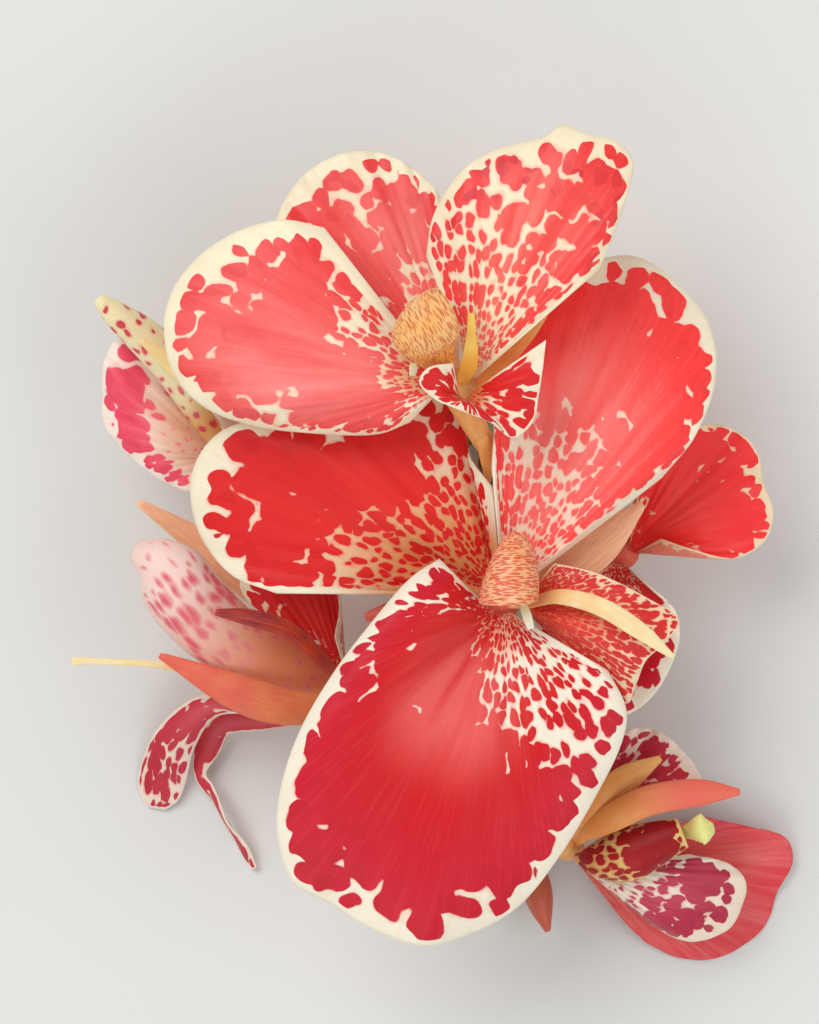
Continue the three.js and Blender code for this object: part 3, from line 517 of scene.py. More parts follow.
# how a spot grows: its level is its radius, in cells, and each range is for a RAMP's sockets
SCATTER = 0.65  # how far the lattice is from a regular one
ROUNDING = 0.4  # how softly neighbours run together
NOISE_RANGE = {1: 0.25, 2: 0.75}  # what a noise mostly spans
PATCHY = {1: 0.3, 2: 0.6, 3: 0.3}  # thin ink is less patchy than thick ink
CHANCE = {3: -0.09, 4: 0.09}  # what a spot gains or loses by chance
ROOM = {1: 2.2, 2: -0.5}  # gain in level for each cell further inside, and level at the margin
ROOM_CHANCE = {3: -0.3, 4: 0.3}
LACE = {1: 0.38, 2: 0.6, 4: 0.26}  # from lacy stretches to those where spots merge, and their growth there
LACE_START = 0.42  # level at the margin of a spot that has room
EDGE_SHARE = 0.3  # a millimetre from a side edge counts as this many cells from the rim
EDGE_LOSS = {1: 0.15, 2: 1.5, 3: 1.0, 4: 0.0}  # loss of level close to an edge
GAPS = {1: 0.4, 2: 0.6, 3: -0.03, 4: 0.6}  # thin ink keeps spots apart, thick ink bridges the gap
GAP_ROUNDING = 0.12
FRAYS = {1: 0.2, 2: 0.8, 3: -0.05, 4: 0.05}
BORDER_OUT, BORDER_IN = -0.4, 0.6  # share of the blur outside a spot's border, and inside it

# how the ink and the ground vary
PAINTED_GLOW_BREAKS = {1: 0.3, 2: 0.6, 3: 0.35, 4: 1.15}  # the painted glow in the middle is broken, never gone
OUTWARDS = {1: 0.35, 2: 1.0}  # reach over which the ink turns to the rim's red
VEIN_CREST = {1: 0.5, 2: 0.78}
VEIN_TROUGH = {1: 0.5, 2: 0.25}
SECOND_EDGE = {1: 0.46, 2: 0.38}  # radius of the darker spots
SECOND_CHANCE = {1: 0.35, 2: 0.8}
SECOND_NEAR_RIM = {1: 4.0, 2: 1.0, 3: 0.15}  # cells from the margin; few of them lie further in
GROUND_VEINS = {1: 0.5, 2: 0.8, 4: 0.2}
HALO = {1: -0.2, 2: 0.0, 4: 0.4}  # a flush reaches 0.2 cells out from a spot
HALO_NEAR_RIM = 0.6  # and sets in over this share of a cell from the margin

# on plain skin a unit is a millimetre
LINE_GRID = (2.2, 0.16, 1.0)  # lines 0.45 mm apart and 6 mm long
DRIFT_SCALE = 0.18  # the hue drifts over 5 to 6 mm
DRIFTS = {1: 0.3, 2: 0.7, 3: -0.25, 4: 0.25}
LINE_CREST = {1: 0.42, 2: 0.72}
FLECK_LEAST, FLECK_MOST = -0.18, 0.12  # spread of the flecks' size
FLECK_EDGE = {1: -0.05, 2: 0.05, 4: 0.85}

# on spotted and on plain skin alike
DULLER = 0.1  # roughness is more in the troughs of the relief
GLOSSIER = 0.06  # and less on its crests


def linear(code: str) -> tuple[float, float, float, float]:
    """Turns an sRGB hex colour to linear light.

    Args:
        code: The colour, such as "#f0a060".

    Returns:
        Red, green, blue and an opacity of 1.
    """
    parts = [int(code[k : k + 2], 16) / 255 for k in (1, 3, 5)]
    light = [p / 12.92 if p <= 0.04045 else ((p + 0.055) / 1.055) ** 2.4 for p in parts]
    return (*light, 1.0)


def add(
    tree: Tree, kind: str, sockets: dict[int | str, Any] | None = None, **settings: Any
) -> bpy.types.Node:
    """Adds a node with its settings, and fills its sockets.

    Args:
        tree: The node tree.
        kind: The node's type.
        sockets: Input name or number to a value, to a hex colour, or to the output that feeds it, where
            a node stands for its first output.
        **settings: The node's own settings.

    Returns:
        The node.
    """
    node = tree.nodes.new(kind)
    for key, value in settings.items():
        setattr(node, key, value)
    for key, value in (sockets or {}).items():
        if isinstance(value, bpy.types.Node):
            value = value.outputs[0]
        if isinstance(value, bpy.types.NodeSocket):
            tree.links.new(value, node.inputs[key])
        elif isinstance(value, str) and value.startswith("#"):
            node.inputs[key].default_value = linear(value)
        else:
            node.inputs[key].default_value = value
    return node


@dataclass(frozen=True)
class Tissue(ABC):
    """Living plant tissue: a waxy, slightly translucent skin over watery cells.

    Attributes:
        title: The material's name.
        roughness: Its mean roughness; petals are satin, stalks a little glossier.
        bump: Height of its veins, in millimetres.
        glow: Subsurface weight, for light that passes through thin flesh.
        gloss: Specular level; 0.5 is a smooth skin's, and velvety tissue has less.
    """

    title: str
    roughness: float = 0.42
    bump: float = 0.12
    glow: float = 0.16
    gloss: float = 0.5

    @abstractmethod
    def colour(self, tree: Tree) -> tuple[Socket, Socket]:
        """Returns the colour output and the height output of the tissue's pattern."""

    def material(self) -> bpy.types.Material:
        """Returns the finish's material, which is made once.

        Returns:
            The material, named for the tissue.
        """
        known = bpy.data.materials.get(self.title)
        if known:
            return known
        made = bpy.data.materials.new(self.title)
        made.use_nodes = True
        tree = made.node_tree
        tree.nodes.clear()
        colour, height = self.colour(tree)
        rough = add(tree, RAMP, {0: height, 3: self.roughness + DULLER, 4: self.roughness - GLOSSIER})
        relief = {"Height": height, "Strength": 0.7, "Distance": self.bump * MM}
        skin = {
            "Base Color": colour,
            "Roughness": rough,
            "Normal": add(tree, "ShaderNodeBump", relief),
            "IOR": 1.42,
            "Specular IOR Level": self.gloss,
            "Subsurface Weight": self.glow,
            "Subsurface Radius": (1.0, 0.35, 0.2),
            "Subsurface Scale": 0.003,
            "Sheen Weight": 0.08,
            "Sheen Roughness": 0.4,
        }
        add(tree, "ShaderNodeOutputMaterial", {0: add(tree, "ShaderNodeBsdfPrincipled", skin)})
        return made


@dataclass(frozen=True)
class SpottedTissue(Tissue):
    """A staminode's skin: a pale ground under round red spots that run together.

    Attributes:
        ground: The ground near the rim.
        throat: The ground near the claw.
        painted_glow_and_flush_ink: A paler ink: painted glow in the middle of the blade, the flush beside
            spots and the light streaks between veins.
        ink: Ink.
        ink_deep: Ink where spots lie on one another.
        ink_far: Ink towards the rim.
        far: How much of ink_far shows at the rim.
        pale: How strongly the painted glow, the paler ink, shows in the middle.
        crowd: How much the ink varies in patches.
        blur: Width of the spots' soft borders, in cells.
        overlaps: How many spots have a darker one on them.
        veined: Contrast of the veins in the ink.
        pucker: Height of the fine crinkles between the veins, against the veins'.
        lace: Growth of the spots for each cell inward, where the rim is most like lace.
    """

    ground: str = "#f5e3c0"
    throat: str = "#f2b06a"
    painted_glow_and_flush_ink: str = "#fc8078"
    ink: str = "#f0403a"
    ink_deep: str = "#cf2226"
    ink_far: str = "#e02c34"
    far: float = 0.5
    pale: float = 0.7
    crowd: float = 0.3
    blur: float = 0.06
    overlaps: float = 0.4
    veined: float = 0.2
    pucker: float = 0.6
    lace: float = 0.04

    def colour(self, tree: Tree) -> tuple[Socket, Socket]:
        """Lays the red spots over the ground.

        Args:
            tree: The material's node tree.

        Returns:
            The colour and the height of the skin.
        """
        cells = add(tree, "ShaderNodeUVMap", uv_map=MARKINGS).outputs[0]
        given = {
            key: add(tree, "ShaderNodeAttribute", attribute_name=key).outputs["Fac"] for key in SPOT_FIELDS
        }
        # spots wander off their lattice
        wander = add(tree, NOISE, {"Vector": cells, "Scale": WANDER_SCALE, "Detail": 1.0})
        offset = add(tree, VECTOR, {0: wander.outputs["Color"], 1: (0.5, 0.5, 0.5)}, operation="SUBTRACT")
        push = add(tree, VECTOR, {0: offset, "Scale": WANDER}, operation="SCALE")
        bent = add(tree, VECTOR, {0: cells, 1: push}, operation="ADD").outputs[0]
        # fine veins run from the claw to the rim, with crinkles between them
        lines = add(tree, "ShaderNodeMapping", {0: cells, 3: VEIN_GRID})
        fine = {"Vector": lines.outputs[0], "Scale": 1.0, "Detail": 3.0, "Roughness": 0.6}
        veins = add(tree, NOISE, fine).outputs[0]
        inside, depth = self.spots(tree, cells, bent, given)
        red = self.overlapped(tree, bent, inside, self.red(tree, cells, veins, given))
        ground = self.flushed(tree, veins, inside, depth, given)
        cover = add(tree, RAMP, {0: depth, 1: BORDER_OUT * self.blur, 2: BORDER_IN * self.blur}, **SMOOTH)
        skin = add(tree, MIX, {0: cover, 6: ground, 7: red}, **HUES).outputs[MIXED]
        back = add(tree, MATH, {0: given["under"], 1: BACK_PALER}, operation="MULTIPLY")
        skin = add(tree, MIX, {0: back, 6: skin, 7: self.ground}, **HUES).outputs[MIXED]
        crinkles = add(tree, NOISE, {"Vector": cells, "Scale": CRINKLE_SCALE, "Detail": 1.0})
        height = add(tree, MATH, {0: crinkles, 1: self.pucker, 2: veins}, operation="MULTIPLY_ADD")
        return skin, height.outputs[0]

    def spots(
        self, tree: Tree, cells: Socket, bent: Socket, given: dict[str, Socket]
    ) -> tuple[Socket, Socket]:
        """Grows a spot in every cell, as far as its ink and the clear margin let it.

        Args:
            tree: The material's node tree.
            cells: Marking coordinates.
            bent: The same, pushed about.
            given: The blade's named numbers.

        Returns:
            Distance inside the clear margin and distance inside a spot's border, both in cells.
        """
        grid = {"Vector": bent, "Scale": 1.0, "Randomness": SCATTER}
        spots = add(tree, VORONOI, {**grid, "Smoothness": ROUNDING}, feature="SMOOTH_F1", **IN_PLANE)
        walls = add(tree, VORONOI, grid, feature="DISTANCE_TO_EDGE", **IN_PLANE)
        dice = add(tree, "ShaderNodeSeparateColor", {0: spots.outputs["Color"]})
        place = add(tree, "ShaderNodeSeparateXYZ", {0: spots.outputs["Position"]})
        # ink: the blade's own, with patches and chance
        patch = add(tree, NOISE, {"Vector": cells, "Scale": PATCH_SCALE, "Detail": 2.0})
        crowd = add(tree, RAMP, {0: patch, **NOISE_RANGE, 3: -self.crowd, 4: self.crowd})
        share = add(tree, RAMP, {0: given["ink"], **PATCHY})
        crowd = add(tree, MATH, {0: crowd, 1: share}, operation="MULTIPLY")
        chance = add(tree, RAMP, {0: dice, **CHANCE})
        level = add(tree, MATH, {0: given["ink"], 1: crowd}, operation="ADD")
        level = add(tree, MATH, {0: level, 1: chance}, operation="ADD")
        # room: no spot starts in the clear margin, and some reach less far
        inside = add(tree, MATH, {0: given["limit"], 1: place.outputs[1]}, operation="SUBTRACT").outputs[0]
        room = add(tree, MATH, {0: inside, **ROOM}, operation="MULTIPLY_ADD")
        spread = add(tree, RAMP, {0: dice.outputs[1], **ROOM_CHANCE})
        room = add(tree, MATH, {0: room, 1: spread}, operation="ADD")
        # in some stretches the rim is like lace, in others the spots merge close to it
        lace = add(tree, RAMP, {0: patch, **LACE, 3: self.lace})
        across = add(tree, MATH, {0: given["clear"], 1: EDGE_SHARE}, operation="MULTIPLY")
        nearest = add(tree, MATH, {0: inside, 1: across}, operation="MINIMUM")
        growth = add(tree, MATH, {0: nearest, 1: lace, 2: LACE_START}, operation="MULTIPLY_ADD")
        room = add(tree, MATH, {0: room, 1: growth}, operation="MINIMUM")
        level = add(tree, MATH, {0: level, 1: room}, operation="MINIMUM")
        side = add(tree, RAMP, {0: given["clear"], **EDGE_LOSS})
        level = add(tree, MATH, {0: level, 1: side}, operation="SUBTRACT")
        # thin ink keeps its spots apart, and borders are a little frayed
        depth = add(tree, MATH, {0: level, 1: spots.outputs["Distance"]}, operation="SUBTRACT")
        gap = add(tree, RAMP, {0: level, **GAPS})
        apart = add(tree, MATH, {0: walls, 1: gap}, operation="ADD")
        depth = add(tree, MATH, {0: depth, 1: apart, 2: GAP_ROUNDING}, operation="SMOOTH_MIN")
        ragged = add(tree, NOISE, {"Vector": cells, "Scale": FRAY_SCALE, "Detail": 1.0})
        fray = add(tree, RAMP, {0: ragged, **FRAYS})
        return inside, add(tree, MATH, {0: depth, 1: fray}, operation="ADD").outputs[0]

    def red(self, tree: Tree, cells: Socket, veins: Socket, given: dict[str, Socket]) -> Socket:
        """Colours the ink: paler in the middle of the blade with painted glow, another red towards the rim,
        with veins.

        Args:
            tree: The material's node tree.
            cells: Marking coordinates.
            veins: Height of the veins.
            given: The blade's named numbers.

        Returns:
            The ink's colour.
        """
        # painted glow: the middle of the blade is paler, as if lit through and sheening, broken in streaks
        wide = add(tree, "ShaderNodeMapping", {0: cells, 3: PAINTED_GLOW_GRID})
        wash = add(tree, NOISE, {"Vector": wide.outputs[0], "Scale": 1.0, "Detail": 2.0})
        broken = add(tree, RAMP, {0: wash, **PAINTED_GLOW_BREAKS})
        middle = add(tree, MATH, {0: given["painted_glow"], 1: broken}, operation="MULTIPLY")
        middle = add(tree, MATH, {0: middle, 1: self.pale}, operation="MULTIPLY", use_clamp=True)
        outer = add(tree, RAMP, {0: given["reach"], **OUTWARDS, 4: self.far}, **SMOOTH)
        red = add(tree, MIX, {0: outer, 6: self.ink, 7: self.ink_far}, **HUES).outputs[MIXED]
        red = add(tree, MIX, {0: middle, 6: red, 7: self.painted_glow_and_flush_ink}, **HUES).outputs[MIXED]
        streak = add(tree, RAMP, {0: veins, **VEIN_CREST, 4: self.veined})
        red = add(tree, MIX, {0: streak, 6: red, 7: self.ink_deep}, **HUES).outputs[MIXED]
        shine = add(tree, RAMP, {0: veins, **VEIN_TROUGH, 4: self.veined})
        return add(tree, MIX, {0: shine, 6: red, 7: self.painted_glow_and_flush_ink}, **HUES).outputs[MIXED]

    def overlapped(self, tree: Tree, bent: Socket, inside: Socket, red: Socket) -> Socket:
        """Lays a darker spot on the ink now and then, mostly near the rim.

        Args:
            tree: The material's node tree.
            bent: Marking coordinates, pushed about.
            inside: Distance inside the clear margin, in cells.
            red: The ink's colour.

        Returns:
            The ink's colour with the darker spots.
        """
        second = add(tree, VORONOI, {"Vector": bent, "Scale": SECOND_SCALE, "Randomness": 1.0}, **IN_PLANE)
        chosen = add(tree, "ShaderNodeSeparateColor", {0: second.outputs["Color"]})
        dark = add(tree, RAMP, {0: second.outputs["Distance"], **SECOND_EDGE}, **SMOOTH)
        often = add(tree, RAMP, {0: chosen, **SECOND_CHANCE, 4: self.overlaps})
        dark = add(tree, MATH, {0: dark, 1: often}, operation="MULTIPLY")
        outer = add(tree, RAMP, {0: inside, **SECOND_NEAR_RIM}, **SMOOTH)
        dark = add(tree, MATH, {0: dark, 1: outer}, operation="MULTIPLY")
        return add(tree, MIX, {0: dark, 6: red, 7: self.ink_deep}, **HUES).outputs[MIXED]

    def flushed(
        self, tree: Tree, veins: Socket, inside: Socket, depth: Socket, given: dict[str, Socket]
    ) -> Socket:
        """Colours the ground: warm at the throat, cream at the rim, flushed beside each spot.

        Args:
            tree: The material's node tree.
            veins: Height of the veins.
            inside: Distance inside the clear margin, in cells.
            depth: Distance inside a spot's border, in cells.
            given: The blade's named numbers.

        Returns:
            The ground's colour.
        """
        ground = add(tree, MIX, {0: given["warm"], 6: self.ground, 7: self.throat}, **HUES).outputs[MIXED]
        tint = add(tree, RAMP, {0: veins, **GROUND_VEINS})
        ground = add(tree, MIX, {0: tint, 6: ground, 7: self.throat}, **HUES).outputs[MIXED]
        halo = add(tree, RAMP, {0: depth, **HALO}, **SMOOTH)
        near = add(tree, MATH, {0: inside, 1: HALO_NEAR_RIM}, operation="MULTIPLY", use_clamp=True)
        flush = add(tree, MATH, {0: halo, 1: near}, operation="MULTIPLY")
        return add(tree, MIX, {0: flush, 6: ground, 7: self.painted_glow_and_flush_ink}, **HUES).outputs[MIXED]


@dataclass(frozen=True)
class PlainTissue(Tissue):
    """Tissue of one hue with fine streaks: true petals, tubes, styles, stalk and buds.

    Attributes:
        foot: Colour at the foot.
        tip: Colour at the tip.
        blush: Second colour, where the ink field asks: pale peach on blushed salmon petals, partly painted
            light; salmon tips; cut pith.
        line: Colour of the fine lines along it.
        lines: How strong the lines are.
        fleck: Colour of its flecks.
        flecks: How much of the surface they cover.
        fleck_size: Their width and length in millimetres.
    """

    foot: str = "#e8c38a"
    tip: str = "#e8c38a"
    blush: str = "#e08064"
    line: str = "#b9803e"
    lines: float = 0.35
    fleck: str = "#b03020"
    flecks: float = 0.0
    fleck_size: tuple[float, float] = (0.6, 1.6)

    def colour(self, tree: Tree) -> tuple[Socket, Socket]:
        """Draws fine lines along the skin, and flecks where it has them.

        Args:
            tree: The material's node tree.

        Returns:
            The colour and the height of the skin.
        """
        cells = add(tree, "ShaderNodeUVMap", uv_map=MARKINGS).outputs[0]
        reach = add(tree, "ShaderNodeAttribute", attribute_name="reach").outputs["Fac"]
        thin = add(tree, "ShaderNodeMapping", {0: cells, 3: LINE_GRID})
        fine = {"Vector": thin.outputs[0], "Scale": 1.0, "Detail": 4.0, "Roughness": 0.6}
        veins = add(tree, NOISE, fine).outputs[0]
        # the hue drifts from the foot's to the tip's
        broad = add(tree, NOISE, {"Vector": cells, "Scale": DRIFT_SCALE, "Detail": 3.0})
        drift = add(tree, RAMP, {0: broad, **DRIFTS})
        share = add(tree, MATH, {0: reach, 1: drift}, operation="ADD")
        held = add(tree, RAMP, {0: share}, **SMOOTH)
        base = add(tree, MIX, {0: held, 6: self.foot, 7: self.tip}, **HUES).outputs[MIXED]
        # second tint: partly painted light on the blushed salmon petals, a real salmon tip and cut pith
        # elsewhere
        tint_and_light_mask = add(tree, "ShaderNodeAttribute", attribute_name="ink").outputs["Fac"]
        base = add(tree, MIX, {0: tint_and_light_mask, 6: base, 7: self.blush}, **HUES).outputs[MIXED]
        streak = add(tree, RAMP, {0: veins, **LINE_CREST, 4: self.lines})
        base = add(tree, MIX, {0: streak, 6: base, 7: self.line}, **HUES).outputs[MIXED]
        if not self.flecks:
            return base, veins
        wide, long = self.fleck_size
        grid = add(tree, "ShaderNodeMapping", {0: cells, 3: (1 / wide, 1 / long, 1.0)})
        dots = add(tree, VORONOI, {"Vector": grid.outputs[0], "Scale": 1.0}, **IN_PLANE)
        dice = add(tree, "ShaderNodeSeparateColor", {0: dots.outputs["Color"]})
        size = add(tree, RAMP, {0: dice, 3: self.flecks + FLECK_LEAST, 4: self.flecks + FLECK_MOST})
        inside = add(tree, MATH, {0: size, 1: dots.outputs["Distance"]}, operation="SUBTRACT")
        cover = add(tree, RAMP, {0: inside, **FLECK_EDGE})
        return add(tree, MIX, {0: cover, 6: base, 7: self.fleck}, **HUES).outputs[MIXED], veins


class Coat(Enum):
    """The finishes of the head's pieces."""

    # the upper flower's thin staminodes: coral with a creamy throat, paler in the middle with painted glow
    # of the light shining through them
    UPPER_PETAL = SpottedTissue(
        "coral_spotted_staminode",
        ground="#f4e4c4",
        throat="#f2b982",
        ink="#ee3f3c",
        painted_glow_and_flush_ink="#fb827c",
        ink_far="#e62e30",
        ink_deep="#d42a32",
        far=0.8,
        pale=0.9,
        crowd=0.42,
    )
    # its right-hand one: rose spots, many of them lying on one another like two coats of a wash
    ROSE_PETAL = SpottedTissue(
        "rose_spotted_staminode",
        ground="#f3e0bf",
        throat="#f5d5ac",
        ink="#f23a38",
        painted_glow_and_flush_ink="#f87464",
        ink_far="#e6302e",
        ink_deep="#cc2430",
        overlaps=0.75,
        pale=0.8,
        crowd=0.2,
    )
    # the front flower's left-hand one, thicker and in half shade: scarlet on a tan throat
    FRONT_PETAL = SpottedTissue(
        "scarlet_spotted_staminode",
        ground="#f1e3c8",
        throat="#da9058",
        ink="#d61c17",
        painted_glow_and_flush_ink="#e63a32",
        ink_far="#d6242e",
        ink_deep="#c41c20",
        pale=0.5,
        gloss=0.3,
        lace=0.1,
    )
    # its right-hand one: scarlet that thins to pink over a pale throat
    BLUSH_PETAL = SpottedTissue(
        "scarlet_blush_staminode",
        ground="#f3e5ca",
        throat="#f0ccb4",
        ink="#fa3a34",
        painted_glow_and_flush_ink="#f8766e",
        ink_far="#ff3a3a",
        ink_deep="#d8262c",
        pale=0.9,
        overlaps=0.25,
        pucker=1.8,
        lace=0.18,
    )
    # the lowest, nearest the light: crimson, paled down its middle by painted sheen, that turns to
    # raspberry at its rim, a darker red that is partly its own hue and partly painted shade where it curves
    # away
    LOWER_PETAL = SpottedTissue(
        "crimson_spotted_staminode",
        ground="#f4e8d2",
        throat="#efb090",
        ink="#d01616",
        painted_glow_and_flush_ink="#ee6a66",
        ink_far="#c82038",
        ink_deep="#b81c26",
        far=0.8,
        pale=0.75,
        veined=0.14,
        gloss=0.25,
    )
    # a young one, nearly plain scarlet with a thread of cream at its rim
    RIGHT_PETAL = SpottedTissue(
        "bright_spotted_staminode",
        ground="#f1d7b2",
        throat="#f0b07c",
        ink="#fc2e2a",
        painted_glow_and_flush_ink="#ff5850",
        ink_far="#fa2a34",
        ink_deep="#dc222c",
        pale=0.4,
        overlaps=0.15,
    )
    # lips: small orange-red dashes on apricot, which look orange from a step away
    LABELLUM = SpottedTissue(
        "dashed_labellum",
        ground="#f2d3ae",
        throat="#ea7648",
        ink="#d42c22",
        painted_glow_and_flush_ink="#e64638",
        ink_far="#d0222a",
        ink_deep="#bc1c1c",
        crowd=0.12,
        overlaps=0.2,
    )
    # a half-open flower's, seen from its back: raspberry blotches on blush
    PINK_PETAL = SpottedTissue(
        "pink_blotched_staminode",
        ground="#f4e0d2",
        throat="#eab79a",
        ink="#ec4c64",
        painted_glow_and_flush_ink="#f07c86",
        ink_far="#e8455f",
        ink_deep="#d0304c",
    )
    # a fading flower's hood: limp tissue whose spots have run and washed out
    FADED_PETAL = SpottedTissue(
        "faded_spotted_staminode",
        ground="#f2cfc4",
        throat="#e28a5e",
        ink="#de5866",
        painted_glow_and_flush_ink="#ea9292",
        ink_far="#d4586a",
        ink_deep="#c84456",
        blur=0.5,
        veined=0.4,
        overlaps=0.2,
        roughness=0.5,
    )
    # a fallen one: dark raspberry blotches on cream
    FALLEN_PETAL = SpottedTissue(
        "fallen_blotched_staminode",
        ground="#f0dcc6",
        throat="#ecd0bc",
        ink="#b82644",
        painted_glow_and_flush_ink="#cc4a62",
        ink_far="#ae2240",
        ink_deep="#961a36",
    )
    # a hanging one: raspberry with a creamy net towards its end
    HANGING_PETAL = SpottedTissue(
        "hanging_blotched_staminode",
        ground="#eed8c6",
        throat="#d8503c",
        ink="#c4283c",
        painted_glow_and_flush_ink="#d85a62",
        ink_far="#b82038",
        ink_deep="#a01828",
    )
    # a furled lip, its colour drawn together: dark red that almost covers a yellow ground
    DARK_PETAL = SpottedTissue(
        "dark_red_staminode",
        ground="#e6bf76",
        throat="#dca060",
        ink="#9a0a10",
        painted_glow_and_flush_ink="#b81c20",
        ink_far="#960c16",
        ink_deep="#7c0a10",
        gloss=0.35,
    )
    # the upper rolled stamen, thin enough to glow: golden, with rust-brown dashes round the roll
    ROLL = PlainTissue(
        "rolled_stamen",
        foot="#f3a648",
        tip="#f6cb92",
        line="#ee9a52",
        fleck="#c8622f",
        flecks=0.36,
        fleck_size=(0.32, 2.4),
        glow=0.2,
    )
    # the front one: peach, with orange-red dashes
    RED_ROLL = PlainTissue(
        "red_rolled_stamen",
        foot="#f2aa60",
        tip="#f6c0a0",
        line="#ee8a52",
        fleck="#dc4426",
        flecks=0.42,
        fleck_size=(0.36, 2.0),
        glow=0.2,
    )
    # a furled staminode: creamy yellow, with few dark pink spots
    CREAM_ROLL = SpottedTissue(
        "cream_rolled_staminode",
        ground="#f3e3b4",
        throat="#e8b268",
        ink="#d8484c",
        painted_glow_and_flush_ink="#e8707a",
        ink_far="#c8323a",
        crowd=0.15,
    )
    # true petals and their tubes: narrow and waxy, salmon with fine lines along them; blushed ones take a
    # pale peach that is partly their own hue and partly painted light, as they lie in shade
    SALMON_PETAL = PlainTissue(
        "salmon_true_petal", foot="#ea9058", tip="#e0624e", blush="#ffc296", line="#cc5842", lines=0.35
    )
    # the same on other flowers: orange, some with a salmon tip
    ORANGE_PETAL = PlainTissue(
        "orange_true_petal", foot="#ea9040", tip="#eeb068", blush="#e86858", line="#dc7834", lines=0.35
    )
    # and on the half-open one: pale pink to straw yellow
    YELLOW_PETAL = PlainTissue(
        "yellow_true_petal", foot="#f2d8c4", tip="#f2d894", line="#e8a880", lines=0.3
    )
    # the back of a fallen staminode: salmon red with pink streaks, no spots
    SALMON_BLADE = PlainTissue(
        "salmon_red_staminode", foot="#e06a52", tip="#de3a44", line="#f08880", lines=0.45
    )
    # styles: fleshy flat straps, orange at the foot and cream at the tip, or yellow
    STYLE = PlainTissue("cream_style", foot="#f0bc74", tip="#f7e2b0", line="#e8a070", lines=0.3, glow=0.25)
    YELLOW_STYLE = PlainTissue("yellow_style", foot="#f0a83c", tip="#f2c860", line="#e0902c", lines=0.2)
    # anthers: dry pale tissue dusted with pollen, so the dullest of all
    ANTHER = PlainTissue(
        "pale_anther", foot="#e9dca6", tip="#f4efd8", line="#cfc08a", lines=0.4, roughness=0.6
    )
    # a stamen that pokes out of its furled lip: yellow-green
    GREEN_TIP = PlainTissue("yellow_green_stamen", foot="#e8a24e", tip="#e6e28e", line="#b8b450", lines=0.3)
    # a withering stamen: maroon with an orange edge
    STRIP = PlainTissue("maroon_stamen_strip", foot="#c8441e", tip="#86202e", line="#e0581e", lines=0.6)
    # stalk and bracts: smooth green with a bloom, glossier than a petal, and pale pith where it is cut
    STALK = PlainTissue(
        "green_stalk",
        foot="#74904a",
        tip="#8a9a54",
        blush="#e4e6c0",
        line="#566f34",
        lines=0.5,
        roughness=0.38,
    )
    # ovaries: green turning brown-red, under soft redder tubercles
    OVARY = PlainTissue("warty_ovary", foot="#7d8a48", tip="#93503c", line="#6d3430", lines=0.45)
    WART = PlainTissue("ovary_tubercle", foot="#a85a44", tip="#b86a4c", line="#8a4034", lines=0.2)
    # buds: wrapped in waxy salmon petals, glossier than the open ones
    BUD = PlainTissue(
        "salmon_bud", foot="#b8693c", tip="#d0624c", line="#a84434", lines=0.5, roughness=0.38
    )


# ------------------------------------------------------------------ blades


@dataclass(frozen=True)
class Blade(ABC):
    """A leaf-like organ, one grown sheet.

    Attributes:
        coat: Its finish.
        marking: How it is spotted.
        thickness: Millimetres at its middle.
        rim: Millimetres at its edge.
        seed: Picks its stretch of markings, and where its frills fall.
    """

    coat: Coat = Coat.FRONT_PETAL
    marking: Marking = Marking()
    thickness: float = 0.7
    rim: float = 0.3
    seed: int = 1

    @abstractmethod
    def surface(self) -> Surface:
        """Returns the sampled middle of the blade."""

    def shell(self) -> Shell:
        """Returns the blade's closed surface."""
        return sheet_shell(self.surface(), self.thickness, self.rim)


